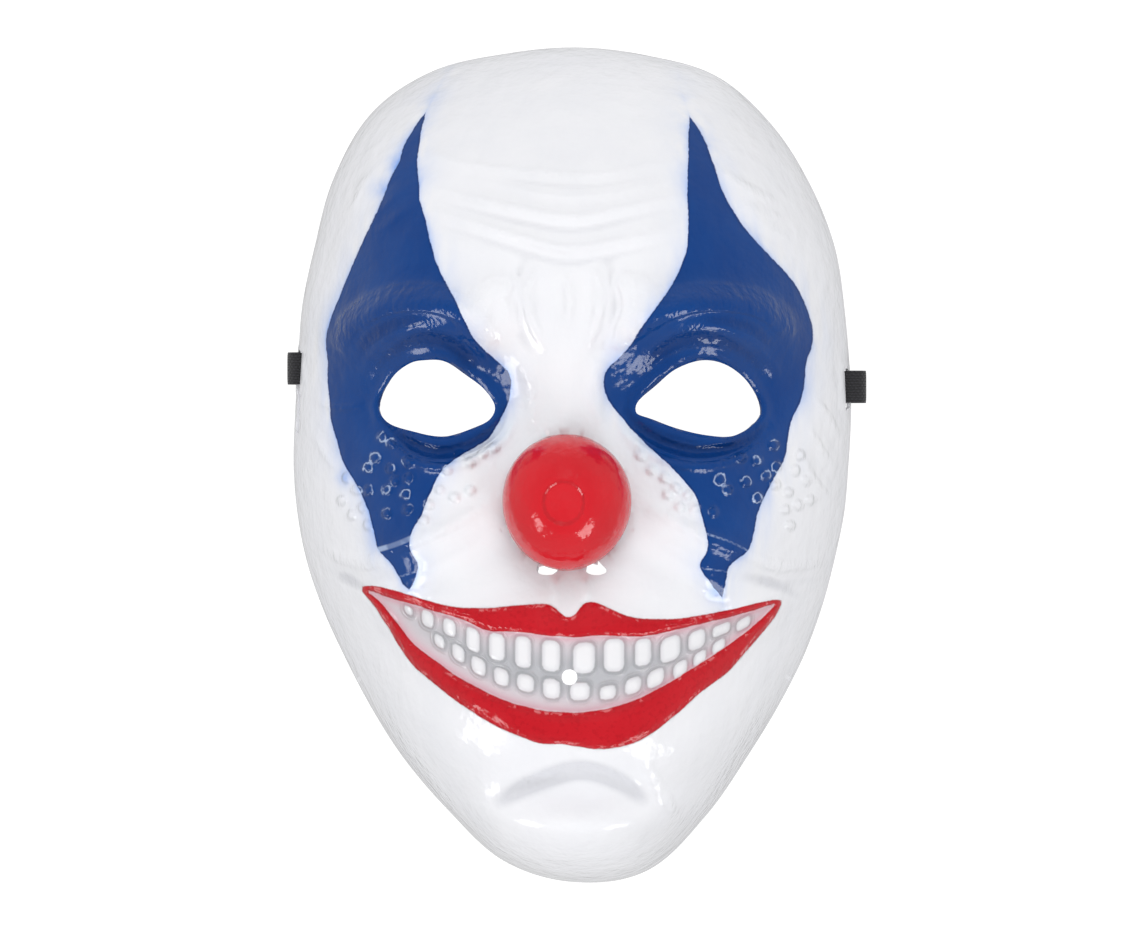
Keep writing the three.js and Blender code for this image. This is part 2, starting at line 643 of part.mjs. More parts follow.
// A three.js mesh from a manifold solid.
function meshFrom(name, solid, material) {
  const { vertProperties, numProp, numVert, triVerts } = solid.getMesh();
  const positions = new Float32Array(numVert * 3);
  for (let k = 0; k < numVert; k++) {
    positions.set(vertProperties.subarray(k * numProp, k * numProp + 3), k * 3);
  }
  const geometry = new THREE.BufferGeometry();
  geometry.setAttribute("position", new THREE.BufferAttribute(positions, 3));
  geometry.setIndex(new THREE.BufferAttribute(triVerts, 1));
  geometry.computeVertexNormals();
  const mesh = new THREE.Mesh(geometry, material);
  mesh.name = name;
  return mesh;
}

const whitePlastic = new THREE.MeshStandardMaterial({ color: 0xeeeef3, roughness: 0.25, metalness: 0 });
const blackElastic = new THREE.MeshStandardMaterial({ color: 0x161616, roughness: 0.85, metalness: 0 });

const mask = new THREE.Group();
mask.add(meshFrom("mask_shell", makeShell(), whitePlastic));
mask.add(meshFrom("elastic_strap", makeStrap(), blackElastic));

// The origin is the middle of the floor that the moulded sheet covers.
const extent = new THREE.Box3().setFromObject(mask.getObjectByName("mask_shell"));
const middle = extent.getCenter(new THREE.Vector3());
for (const mesh of mask.children) mesh.geometry.translate(-middle.x, -middle.y, -extent.min.z);

export default mask;
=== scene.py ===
# %% [markdown]
# # A clown mask in thin glossy plastic
#
# The real mask is one sheet of white plastic, drawn down warm over a mould of a face, trimmed, pierced
# and spray painted, with one flat elastic strap. Such a face could be sculpted by hand. Here it is a
# height worked out for every point of a grid, so that each feature keeps a size that can be changed.
#
# The mask lies face up and the camera looks down on it. X runs to the right of the face, Y to the top
# of the forehead and Z out of the face. Shapes are worked out in millimetres in the face's own plane,
# and `to_scene` turns them into metres in the shared frame.

# %% Imports and the shared frame
from types import SimpleNamespace

import bpy
import numpy as np
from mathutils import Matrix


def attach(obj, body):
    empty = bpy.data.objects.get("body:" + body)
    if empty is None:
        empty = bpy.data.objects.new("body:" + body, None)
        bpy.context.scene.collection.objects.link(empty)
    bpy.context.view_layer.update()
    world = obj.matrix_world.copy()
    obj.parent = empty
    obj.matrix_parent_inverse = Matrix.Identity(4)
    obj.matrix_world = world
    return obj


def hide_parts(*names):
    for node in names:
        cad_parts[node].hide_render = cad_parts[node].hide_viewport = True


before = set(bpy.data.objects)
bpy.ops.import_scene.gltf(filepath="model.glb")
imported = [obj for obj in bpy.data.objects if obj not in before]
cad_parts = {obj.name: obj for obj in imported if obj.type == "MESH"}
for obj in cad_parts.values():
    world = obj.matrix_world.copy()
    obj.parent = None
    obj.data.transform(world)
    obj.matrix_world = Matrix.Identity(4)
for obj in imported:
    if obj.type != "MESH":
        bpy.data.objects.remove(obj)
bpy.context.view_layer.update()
scene = bpy.context.scene
print("CAD nodes:", sorted(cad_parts))

# %% [markdown]
# ## Driving sizes
#
# These are the sizes of the real mask, in millimetres. They could stand beside each shape that uses
# them, but then a change of size would have to be hunted down, so the main ones are kept together.

# %% Driving sizes in millimetres
MM = 0.001
HALF_HEIGHT = 130
FACE_DEPTH = 70
WALL = 1.1
RINGS = 107
RING_CROWDING = 1.35
WALL_POWER = 0.75

NOSE = {"x": 0, "y": -11.3, "z": 65, "across": 19.2, "along": 20.2, "out": 21}
NOSE_DISC = {"radius": 6.0, "depth": 1.1}
BREATHING_HOLE = {"x": 1, "y": -63.2, "radius": 2.4}
NOSTRILS = {"y": -31.6, "left": -5.9, "right": 8.8, "width": 6.4, "height": 2.9}
LIP_LIFT = {"upper": 1.5, "lower": 2.2}
TOOTH_LIFT = 0.9

# The trimmed outline: distance from the middle as a share of HALF_HEIGHT, every ten degrees from +X.
OUTLINE_STEP = 10
OUTLINE = [
    0.653, 0.669, 0.697, 0.743, 0.809, 0.873, 0.938, 0.988, 0.994, 0.999, 0.999, 1.004,
    0.977, 0.903, 0.819, 0.76, 0.711, 0.686, 0.679, 0.68, 0.688, 0.701, 0.724, 0.764,
    0.82, 0.886, 0.968, 1.002, 0.989, 0.901, 0.815, 0.755, 0.713, 0.681, 0.66, 0.653,
]

# The dome along the middle line, chin to forehead: place over HALF_HEIGHT, height over FACE_DEPTH.
MIDDLE_LINE = np.array([
    (-1.0, 1.2), (-0.91, 1.17), (-0.83, 1.1), (-0.75, 0.99), (-0.66, 1.01), (-0.54, 1.0), (-0.38, 0.97),
    (-0.23, 0.9), (-0.08, 0.86), (0.09, 0.86), (0.29, 0.94), (0.46, 1.0), (0.69, 1.04), (1.0, 1.06),
])

# Broad swellings and hollows: place and spread over HALF_HEIGHT, lift over FACE_DEPTH. A form away
# from the middle line comes twice, once on each side.
FORM_COLUMNS = ("name", "x", "y", "across", "along", "turn", "lift")
FORM_ROWS = [
    ("forehead", 0, 0.6, 0.37, 0.23, 0, 0.04),
    ("brow", 0.34, 0.325, 0.19, 0.065, -4, 0.1),
    ("between brows", 0, 0.26, 0.09, 0.1, 0, 0.03),
    ("nose bridge", 0, 0.06, 0.08, 0.17, 0, 0.09),
    ("eye socket", 0.31, 0.15, 0.17, 0.1, 0, -0.12),
    ("eye bag", 0.29, 0.0, 0.15, 0.05, 14, 0.035),
    ("cheek", 0.36, -0.17, 0.15, 0.14, 0, 0.085),
    ("smile", 0.3, -0.3, 0.2, 0.035, -38, -0.03),
    ("muzzle", 0, -0.45, 0.37, 0.19, 0, 0.05),
    ("under lip", 0, -0.735, 0.2, 0.06, 0, -0.05),
    ("chin", 0.01, -0.85, 0.15, 0.09, 0, 0.05),
    ("temple", 0.55, 0.42, 0.09, 0.17, 0, -0.03),
]
FORMS = [dict(zip(FORM_COLUMNS, row)) for row in FORM_ROWS]
PAIRED_BEYOND = 0.1

# The strap: its band, and where it goes through each side wall.
STRAP = {"width": 10, "thickness": 0.9, "rise": 38, "bow": 1.4, "overlap": 9}
STRAP_ENDS = [
    {"side": -1, "y": 0.229, "stand_off": 2.8, "below": 20.4, "above": 5.6, "floor": 5, "ceiling": 8},
    {"side": 1, "y": 0.184, "stand_off": 4.8, "below": 7.3, "above": 5.6, "floor": 5, "ceiling": 8},
]
ARCH = {"width": 14, "height": 2.3, "flare": 1.5, "fade": 14}
print("mask height, mm:", 2 * HALF_HEIGHT, "broad forms:", len(FORMS))

# %% [markdown]
# ## The face as a height over the floor
#
# The sheet takes the mould's shape: a shallow dome with steep sides. It could be lofted through
# sections, but the outline and the forms on the face would then be hard to change one by one. So the
# outline is a closed curve through one radius every ten degrees. Over it stands a dome that is flat in
# the middle and falls steeply at the rim, and on the dome sit bells for brows, cheeks and chin.


# %% Smooth curves and the face's height
def along(keys, values, at):
    """Smooth value at each place: cubic pieces between the keys, sloped as their neighbours lie."""
    keys = np.asarray(keys, float)
    values = np.asarray(values, float)
    slopes = np.gradient(values, keys)
    slopes[1:-1] = (values[2:] - values[:-2]) / (keys[2:] - keys[:-2])
    i = np.clip(np.searchsorted(keys, at, side="right") - 1, 0, len(keys) - 2)
    span = keys[i + 1] - keys[i]
    t = np.clip((at - keys[i]) / span, 0, 1)
    rise = values[i + 1] - values[i]
    bend = slopes[i] * span * (t**3 - 2 * t**2 + t) + slopes[i + 1] * span * (t**3 - t**2)
    return values[i] + bend + rise * (3 * t**2 - 2 * t**3)


def smoothstep(low, high, value):
    """0 below low, 1 above high, and a smooth rise of 3 t squared less 2 t cubed between."""
    t = np.clip((value - low) / (high - low), 0, 1)
    return t * t * (3 - 2 * t)


def bell(value, width):
    """1 at 0, falling as e to the minus of (value over width) squared."""
    return np.exp(-((value / width) ** 2))


def rim_radius(angle):
    """Distance from the middle of the face to the rim, in the direction of each angle."""
    keys = OUTLINE_STEP * np.arange(-1, len(OUTLINE) + 2)
    values = [OUTLINE[-1], *OUTLINE, OUTLINE[0], OUTLINE[1]]
    return HALF_HEIGHT * along(keys, values, np.degrees(angle) % 360)


def rim_at(side, y):
    """How far out the rim lies on one side, level with y, found by walking to where both agree."""
    x = side * HALF_HEIGHT * 0.66
    for _ in range(12):
        x = side * np.sqrt(rim_radius(np.arctan2(y, x)) ** 2 - y * y)
    return float(abs(x))


def form_bell(form, mirror, x, y):
    """One form's lift: a bell with its own spread each way, turned in the plane of the face."""
    turn = np.radians(form["turn"])
    dx = mirror * x - form["x"] * HALF_HEIGHT
    dy = y - form["y"] * HALF_HEIGHT
    across = (dx * np.cos(turn) + dy * np.sin(turn)) / (form["across"] * HALF_HEIGHT)
    up = (dy * np.cos(turn) - dx * np.sin(turn)) / (form["along"] * HALF_HEIGHT)
    return form["lift"] * FACE_DEPTH * np.exp(-(across**2) - up**2)


def rim_share(x, y):
    """How far out each point lies, from 0 in the middle to 1 at the rim."""
    return np.minimum(np.hypot(x, y) / rim_radius(np.arctan2(y, x)), 1)


def face_height(x, y):
    """Dome height times (1 - share to the n) to a power, n larger at the chin, plus all the forms."""
    share = rim_share(x, y)
    squareness = 3 + 5 * smoothstep(50, 110, -y)
    dome = FACE_DEPTH * along(MIDDLE_LINE[:, 0], MIDDLE_LINE[:, 1], y / HALF_HEIGHT)
    forms = np.zeros_like(share)
    for form in FORMS:
        forms += form_bell(form, 1, x, y)
        if form["x"] > PAIRED_BEYOND:
            forms += form_bell(form, -1, x, y)
    return dome * (1 - share**squareness) ** WALL_POWER + forms * (1 - share**10)


def outline_middle():
    """Middle of the outline's box; the shared frame has its origin there."""
    angle = np.linspace(0, 2 * np.pi, 721)
    x = rim_radius(angle) * np.cos(angle)
    y = rim_radius(angle) * np.sin(angle)
    return np.array([(x.min() + x.max()) / 2, (y.min() + y.max()) / 2, 0])


FACE_MIDDLE = outline_middle()


def to_scene(points):
    """Millimetres in the face's own plane, as metres in the shared frame."""
    return (np.asarray(points, float) - FACE_MIDDLE) * MM


print("middle of the outline, mm:", FACE_MIDDLE.round(2))

# %% [markdown]
# ## Camera
#
# The photograph was taken from far away, a little from the right side, with the camera upright over the
# face. An orthographic camera would come close, but a long lens keeps the little perspective that the
# sides of the mask still show.

# %% Camera
CAMERA = {"distance": 1400, "yaw": 2.5, "left_of_middle": 2.73, "above_middle": 0.16}
FRAME_PIXELS = {"width": 1134, "height": 927}
PIXELS_PER_MM = 3.2077
SENSOR = 36


def make_camera():
    """A camera over the face, turned about Y; lens = sensor * distance * scale / picture width."""
    data = bpy.data.cameras.new("camera")
    data.sensor_width = SENSOR
    data.lens = SENSOR * CAMERA["distance"] * PIXELS_PER_MM / FRAME_PIXELS["width"]
    data.clip_start = 0.05
    data.clip_end = 20
    camera = bpy.data.objects.new("camera", data)
    yaw = np.radians(CAMERA["yaw"])
    away = CAMERA["distance"] * np.array([np.sin(yaw), 0, np.cos(yaw)])
    aim = np.array([-CAMERA["left_of_middle"], CAMERA["above_middle"], 0])
    camera.location = to_scene(aim + away)
    camera.rotation_euler = (0, yaw, 0)
    scene.collection.objects.link(camera)
    bpy.context.scene.camera = camera
    return camera


camera = make_camera()
print("lens, mm:", round(camera.data.lens, 2))

# %% [markdown]
# ## Materials as code
#
# Paint, plastic and elastic are graphs of nodes here. They could be drawn in the node editor, but a
# script is easier to read and to change. A `Wire` stands for one output of a node. Its operators add a
# Math node each, so a formula in the script reads as it would on paper.


# %% Wires
class Wire:
    """One output of a node, which can be used like a number."""

    def __init__(self, nodes, socket):
        self.nodes = nodes
        self.socket = socket

    def math(self, operation, *others, clamp=False):
        """A Math node on this wire and the others, in that order."""
        return self.nodes.add("ShaderNodeMath", [self, *others], operation=operation, use_clamp=clamp)

    def __add__(self, other):
        return self.math("ADD", other)

    def __mul__(self, other):
        return self.math("MULTIPLY", other)

    def __sub__(self, other):
        return self.math("SUBTRACT", other)

    def __truediv__(self, other):
        return self.math("DIVIDE", other)

    def __rsub__(self, other):
        return self.nodes.add("ShaderNodeMath", [other, self], operation="SUBTRACT")

    def __neg__(self):
        return self.math("MULTIPLY", -1.0)

    __radd__ = __add__
    __rmul__ = __mul__

    def clamped(self):
        """This wire held between 0 and 1."""
        return self.math("ADD", 0.0, clamp=True)

    def ramp(self, low, high):
        """A smooth rise from 0 at low to 1 at high; low may be the larger of the two."""
        inputs = {"Value": self, "From Min": low, "From Max": high}
        return self.nodes.add("ShaderNodeMapRange", inputs, interpolation_type="SMOOTHSTEP")


# %% Nodes of a material
# Places of the colour sockets in Blender's Mix node, whose sockets share their names.
MIX_SHARE, MIX_FIRST, MIX_SECOND, MIX_RESULT = 0, 6, 7, 2


class Nodes:
    """A material and the nodes in it."""

    def __init__(self, name):
        self.material = bpy.data.materials.new(name)
        self.material.use_nodes = True
        self.tree = self.material.node_tree
        self.tree.nodes.clear()

    def add(self, kind, inputs=(), output=0, **settings):
        """A new node with its settings, its inputs set or linked by place or by name."""
        node = self.tree.nodes.new(kind)
        for key, value in settings.items():
            setattr(node, key, value)
        pairs = inputs.items() if isinstance(inputs, dict) else enumerate(inputs)
        for key, value in pairs:
            if isinstance(value, Wire):
                self.tree.links.new(value.socket, node.inputs[key])
            else:
                node.inputs[key].default_value = value
        return Wire(self, node.outputs[output]) if node.outputs else None

    def attribute(self, name):
        """A number kept at each point of the mesh."""
        return self.add("ShaderNodeAttribute", output="Fac", attribute_name=name)

    def noise(self, scale, detail=3.0, stretch=None):
        """Soft noise from 0 to 1 in object space, scale being waves per metre."""
        place = self.add("ShaderNodeTexCoord", output="Object")
        if stretch:
            place = self.add("ShaderNodeMapping", {"Vector": place, "Scale": stretch})
        return self.add("ShaderNodeTexNoise", {"Vector": place, "Scale": scale, "Detail": detail})

    def mix(self, share, first, second):
        """Colour that goes from first to second as share goes from 0 to 1."""
        inputs = {MIX_SHARE: share, MIX_FIRST: first, MIX_SECOND: second}
        return self.add("ShaderNodeMix", inputs, output=MIX_RESULT, data_type="RGBA")

    def bump(self, height, distance):
        """A normal bent by a height wire, distance in metres for a height of 1."""
        return self.add("ShaderNodeBump", {"Height": height, "Distance": distance, "Strength": 1.0})

    def finish(self, inputs):
        """Ends the graph in a surface with these inputs, and gives back the material."""
        surface = self.add("ShaderNodeBsdfPrincipled", inputs)
        self.add("ShaderNodeOutputMaterial", {"Surface": surface})
        return self.material


def colour(red, green, blue):
    """A colour as a screen shows it, from 0 to 255 each, in the linear light that shaders use."""
    share = np.array([red, green, blue]) / 255
    linear = np.where(share <= 0.04045, share / 12.92, ((share + 0.055) / 1.055) ** 2.4)
    return (*linear.tolist(), 1.0)


print("mid grey in linear light:", round(colour(128, 128, 128)[0], 3))

# %% [markdown]
# ## Meshes from arrays
#
# Modifiers and edit mode could build these pieces, but every point here comes from a formula. So a mesh
# is made at once from an array of points, a list of faces and any numbers kept at its points or faces.


# %% Mesh helper
SHARP_DEGREES = 62


def make_object(name, points, faces, materials, numbers=None, face_numbers=None):
    """A smooth mesh object, sharp where faces meet at a steep angle, with numbers under their names."""
    mesh = bpy.data.meshes.new(name)
    mesh.from_pydata(points.tolist(), [], faces)
    mesh.polygons.foreach_set("use_smooth", np.ones(len(faces), bool))
    for material in materials:
        mesh.materials.append(material)
    for domain, table in (("POINT", numbers), ("FACE", face_numbers)):
        for key, values in (table or {}).items():
            kept = mesh.attributes.new(key, "FLOAT", domain)
            kept.data.foreach_set("value", np.asarray(values, np.float32))
    mesh.update()
    mesh.set_sharp_from_angle(angle=np.radians(SHARP_DEGREES))
    made = bpy.data.objects.new(name, mesh)
    scene.collection.objects.link(made)
    print(name, "has", len(points), "points and", len(faces), "faces")
    return made


# %% [markdown]
# ## The elastic strap
#
# The strap is one flat knitted band. Each end lies back over itself inside the mask, goes out through
# the slot, round the strip of plastic below it and back in under an arch in the rim. Only the two loops
# show. A cloth simulation could drop the rest, but it would land by chance. So its middle line is drawn
# through listed points, and between its ends it lies on the floor in a bow that clears both eye holes.


# %% The strap's middle line
BAND_CLEARANCE = 0.05
STACK_GAP = 0.2
WALL_INSIDE_RIM = 2.2
TURN_INSIDE_WALL = 4.5


def strap_end(end):
    """Points from the free end, out of the slot, round the rim and in again under the arch."""
    y = end["y"] * HALF_HEIGHT
    rim = rim_at(end["side"], y)
    out = rim + end["stand_off"] - STRAP["thickness"] / 2
    low = STRAP["thickness"] / 2 + BAND_CLEARANCE
    stacked = low + STRAP["thickness"] + STACK_GAP
    wall = rim - WALL_INSIDE_RIM
    turn = wall - TURN_INSIDE_WALL
    loop = [
        (turn - STRAP["overlap"], stacked),
        (turn - STRAP["overlap"] / 2, stacked),
        (turn - 0.6, stacked + 0.1),
        (turn + 1.9, stacked + 1.6),
        (wall - 1.0, 5.9),
        (wall + 0.9, 6.6),
        (out - 1.5, 6.3),
        (out, 4.4),
        (out - 0.5, 2.2),
        (out - 2.4, low + 0.3),
        (wall - 0.5, low),
        (turn, low),
        (turn - STRAP["overlap"], low),
    ]
    return np.array([(end["side"] * x, y, z) for x, z in loop])


FLOOR_STEPS = 16


def strap_route():
    """The whole route: left end, a bow across the floor that rises as a power of the sine, right end."""
    left, right = (strap_end(end) for end in STRAP_ENDS)
    t = np.arange(1, FLOOR_STEPS) / FLOOR_STEPS
    start, stop = left[-1], right[-1]
    lift = STRAP["rise"] * np.sin(np.pi * t) ** STRAP["bow"]
    floor = start + t[:, None] * (stop - start)
    floor[:, 1] += lift
    return np.vstack([left, floor, right[::-1]])


# %% A curve through the strap's points
def curve_through(points, steps=40):
    """Centripetal Catmull-Rom curve: knots lie the square root of the chord apart."""
    first = 2 * points[0] - points[1]
    last = 2 * points[-1] - points[-2]
    p = np.vstack([first, points, last])
    knots = np.concatenate([[0], np.cumsum(np.sqrt(np.linalg.norm(np.diff(p, axis=0), axis=1)))])
    made = []
    for k in range(1, len(p) - 2):
        a, b, c, d = knots[k - 1 : k + 3]
        t = np.linspace(b, c, steps, endpoint=False)[:, None]
        ab = ((b - t) * p[k - 1] + (t - a) * p[k]) / (b - a)
        bc = ((c - t) * p[k] + (t - b) * p[k + 1]) / (c - b)
        cd = ((d - t) * p[k + 1] + (t - c) * p[k + 2]) / (d - c)
        abc = ((c - t) * ab + (t - a) * bc) / (c - a)
        bcd = ((d - t) * bc + (t - b) * cd) / (d - b)
        made.append(((c - t) * abc + (t - b) * bcd) / (c - b))
    return np.vstack([*made, points[-1:]])


def spread_evenly(points, count):
    """The same line as count points, each as far from the next."""
    gone = np.concatenate([[0], np.cumsum(np.linalg.norm(np.diff(points, axis=0), axis=1))])
    at = np.linspace(0, gone[-1], count)
    return np.stack([np.interp(at, gone, points[:, k]) for k in range(3)], axis=1), gone[-1]


STRAP_STATIONS = 420
strap_line, strap_length = spread_evenly(curve_through(strap_route()), STRAP_STATIONS)
print("strap length, mm:", round(float(strap_length), 1))


# %% [markdown]
# ## The strap's band
#
# A band could be a curve object with a flat bevel, but a bevel twists where the line turns back on
# itself. So the band is a row of flat rings. Near the rim each ring lies straight along the mask's Y,
# and on the floor it lies square to the line.


# %% The way across the band
STRAIGHT_BEYOND = 0.79  # of the way out to the rim


def strap_frames(line):
    """At each station the way across the band and the way up out of it."""
    forward = np.gradient(line, axis=0)
    forward /= np.linalg.norm(forward, axis=1)[:, None]
    straight = rim_at(1, 0) * STRAIGHT_BEYOND
    flat = np.cross([0, 0, 1], forward)
    flat[:, 2] = 0
    flat /= np.maximum(np.linalg.norm(flat, axis=1), 1e-6)[:, None]
    across = np.where(np.abs(line[:, :1]) > straight, [[0.0, 1.0, 0.0]], flat)
    for k in range(1, len(across)):
        if across[k] @ across[k - 1] < 0:
            across[k] = -across[k]
    up = np.cross(across, forward)
    up /= np.linalg.norm(up, axis=1)[:, None]
    return across, up


# %% The band
SECTION_POINTS = 12
EDGE_ROUNDING = 0.3


def band_section():
    """Places round the band's section, both from -1 to 1: flat, and thinner towards its edges."""
    across = np.linspace(-1, 1, SECTION_POINTS)
    top = 1 - EDGE_ROUNDING * np.abs(across) ** 6
    upper = np.stack([across, top], axis=1)
    lower = np.stack([across[::-1], -top[::-1]], axis=1)
    return np.vstack([upper, lower])


def make_strap(material):
    """The band as rings of points along the line, each ring joined to the next and both ends closed."""
    across, up = strap_frames(strap_line)
    section = band_section()
    wide = section[:, 0] * STRAP["width"] / 2
    thick = section[:, 1] * STRAP["thickness"] / 2
    rings = (
        strap_line[:, None, :]
        + across[:, None, :] * wide[None, :, None]
        + up[:, None, :] * thick[None, :, None]
    )
    count = len(section)
    points = rings.reshape(-1, 3)
    ring = np.arange(STRAP_STATIONS - 1)[:, None] * count
    a = ring + np.arange(count)
    b = ring + (np.arange(count) + 1) % count
    quads = np.stack([a, b, b + count, a + count], axis=-1).reshape(-1, 4)
    last = (STRAP_STATIONS - 1) * count
    caps = [list(range(count))[::-1], list(range(last, last + count))]
    gone = np.linspace(0, strap_length, STRAP_STATIONS)
    numbers = {"gone": np.repeat(gone, count), "across": np.tile(wide, STRAP_STATIONS)}
    return make_object("strap_band", to_scene(points), quads.tolist() + caps, [material], numbers)


# %% [markdown]
# ## Black elastic
#
# The band is knitted, with ribs along it and fine stitches across them, and its yarn is fuzzy and matt.
# Real yarns would be far too many faces. The rib and the stitch are waves of the distances kept at the
# points, so that they follow the band round its turns, and they shade the colour and bend the normal.


# %% Black elastic
RIB = 0.85
STITCH = 1.15
YARN_DARK = colour(13, 13, 15)
YARN_LIGHT = colour(52, 52, 56)


def elastic_material():
    """Ribs are the size of a sine across the band, crossed by a sine along it, with noise for fuzz."""
    nodes = Nodes("black_elastic")
    gone = nodes.attribute("gone")
    across = nodes.attribute("across")
    rib = (across * (np.pi / RIB)).math("SINE").math("ABSOLUTE")
    stagger = (across / RIB).math("FLOOR") * np.pi
    stitch = (gone * (2 * np.pi / STITCH) + stagger).math("SINE") * 0.5 + 0.5
    weave = rib * (0.55 + 0.45 * stitch)
    fuzz = nodes.noise(2600.0, detail=2.0)
    shade = (weave * 0.75 + fuzz * 0.35).clamped()
    base = nodes.mix(shade, YARN_DARK, YARN_LIGHT)
    normal = nodes.bump(weave + fuzz * 0.3, 0.00028)
    roughness = 0.9 - 0.15 * fuzz
    inputs = {"Base Color": base, "Roughness": roughness, "Normal": normal, "Sheen Weight": 0.25}
    return nodes.finish(inputs)


# %% The strap in the frame
strap = make_strap(elastic_material())
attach(strap, "root")
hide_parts("elastic_strap")

# %% [markdown]
# ## Lines on the face
#
# The holes, the paint and the creases are all lines in the plane of the face. Cutters and painted
# pictures could make them, but pictures blur and cutters leave ragged meshes. The distance of every
# point of the mesh from such a line, with a sign for its side, is enough to cut, raise or paint it.


# %% Smooth lines
def smooth_line(points, steps=6, closed=False):
    """A finer line through the same points, by the curve used for the strap."""
    flat = np.array([(x, y, 0.0) for x, y in points])
    if not closed:
        return curve_through(flat, steps)[:, :2]
    around = np.vstack([flat[-2:], flat, flat[:3]])
    made = curve_through(around, steps)
    return made[2 * steps : -2 * steps - 1, :2]


# %% Distances from lines
def nearest_on(line, x, y, reach=np.inf):
    """For each point its distance from the line, the side it lies on (+1 left of the line's run),
    how far along it lies from 0 to 1, and the nearest place on the line."""
    best = np.full(x.shape, 1e6)
    side = np.ones(x.shape)
    share = np.zeros(x.shape)
    place = np.stack([x, y], axis=-1).astype(float)
    low = line.min(axis=0) - reach
    high = line.max(axis=0) + reach
    near = (x >= low[0]) & (x <= high[0]) & (y >= low[1]) & (y <= high[1])
    px, py = x[near], y[near]
    found, found_side, found_share = best[near], side[near], share[near]
    found_place = place[near]
    lengths = np.linalg.norm(np.diff(line, axis=0), axis=1)
    gone = np.concatenate([[0], np.cumsum(lengths)]) / lengths.sum()
    for k, length in enumerate(lengths):
        if length < 1e-9:
            continue
        (ax, ay), (bx, by) = line[k], line[k + 1]
        ux, uy = (bx - ax) / length, (by - ay) / length
        t = np.clip((px - ax) * ux + (py - ay) * uy, 0, length)
        qx, qy = ax + t * ux, ay + t * uy
        away = np.hypot(px - qx, py - qy)
        closer = away < found
        found = np.where(closer, away, found)
        turn = np.sign(ux * (py - ay) - uy * (px - ax))
        found_side = np.where(closer, turn, found_side)
        found_share = np.where(closer, gone[k] + (gone[k + 1] - gone[k]) * t / length, found_share)
        found_place[closer] = np.stack([qx, qy], axis=-1)[closer]
    best[near], side[near], share[near], place[near] = found, found_side, found_share, found_place
    return best, side, share, place


def inside_of(loop, x, y):
    """True where a ray to the right crosses the closed loop an odd number of times."""
    inside = np.zeros(x.shape, bool)
    for (ax, ay), (bx, by) in zip(loop, np.roll(loop, -1, axis=0)):
        crosses = (ay > y) != (by > y)
        where = (bx - ax) * (y - ay) / (by - ay + 1e-12) + ax
        inside ^= crosses & (x < where)
    return inside


def edge_distance(loop, x, y):
    """Distance from a closed loop, negative inside it, and the nearest place on it."""
    shut = np.vstack([loop, loop[:1]])
    away, _, _, place = nearest_on(shut, x, y)
    return np.where(inside_of(loop, x, y), -away, away), place


# %% [markdown]
# ## The lines themselves
#
# The eye holes are cut out of the sheet, and the lips and the teeth stand up from it. Each line could
# be traced point by point, but few points and a smooth curve are easier to change. They are in
# millimetres from the middle of the face.

# %% Eye holes, mouth and teeth
EYE_LEFT = [
    (-57.9, 17.4), (-53.2, 26.3), (-47.2, 30.4), (-43.0, 31.1), (-37.1, 30.8), (-30.5, 26.6), (-24.8, 22.1),
    (-21.8, 17.0), (-23.4, 13.4), (-28.5, 10.8), (-36.1, 8.4), (-40.1, 8.4), (-46.0, 9.6), (-55.2, 12.7),
]
EYE_RIGHT = [
    (20.6, 18.0), (26.5, 23.6), (32.2, 28.3), (40.3, 31.0), (46.8, 29.9), (52.7, 25.8), (57.2, 19.0),
    (57.8, 15.4), (54.8, 11.4), (49.1, 8.4), (41.1, 8.7), (32.2, 10.8), (25.3, 13.4), (20.6, 15.2),
]

# The mouth, left to right: x, top and foot of the upper lip, top and foot of the lower lip.
MOUTH = np.array([
    (-63.3, -37.1, -37.8, -38.2, -38.8), (-59.0, -36.8, -38.8, -40.4, -43.6),
    (-56.0, -37.3, -39.9, -43.2, -48.2), (-48.0, -39.2, -41.9, -52.9, -59.6),
    (-40.0, -41.5, -44.1, -58.8, -65.9), (-32.0, -42.8, -46.2, -63.9, -71.5),
    (-24.0, -42.8, -49.4, -67.8, -76.3), (-18.0, -42.3, -49.8, -70.3, -79.2),
    (-12.0, -41.8, -50.1, -72.0, -81.5), (-8.0, -41.5, -50.6, -72.8, -82.8),
    (-5.0, -41.7, -51.0, -73.2, -83.1), (-3.0, -43.0, -51.1, -73.3, -83.1),
    (-1.0, -44.7, -51.3, -73.5, -83.1), (0.6, -45.5, -51.4, -73.6, -83.4),
    (3.0, -44.2, -51.4, -73.6, -83.7), (5.0, -41.6, -51.2, -73.5, -84.0),
    (8.0, -41.0, -50.9, -73.1, -84.5), (12.0, -42.4, -50.9, -72.4, -84.5),
    (18.0, -45.1, -51.2, -70.9, -83.5), (24.0, -46.0, -51.1, -68.4, -80.9),
    (32.0, -46.1, -49.5, -64.2, -75.0), (40.0, -45.1, -47.7, -59.3, -68.1),
    (48.0, -43.8, -46.0, -54.3, -62.3), (56.0, -42.0, -44.0, -48.4, -53.5),
    (62.0, -41.1, -42.2, -42.9, -46.4), (63.9, -41.4, -41.9, -42.1, -42.6),
])

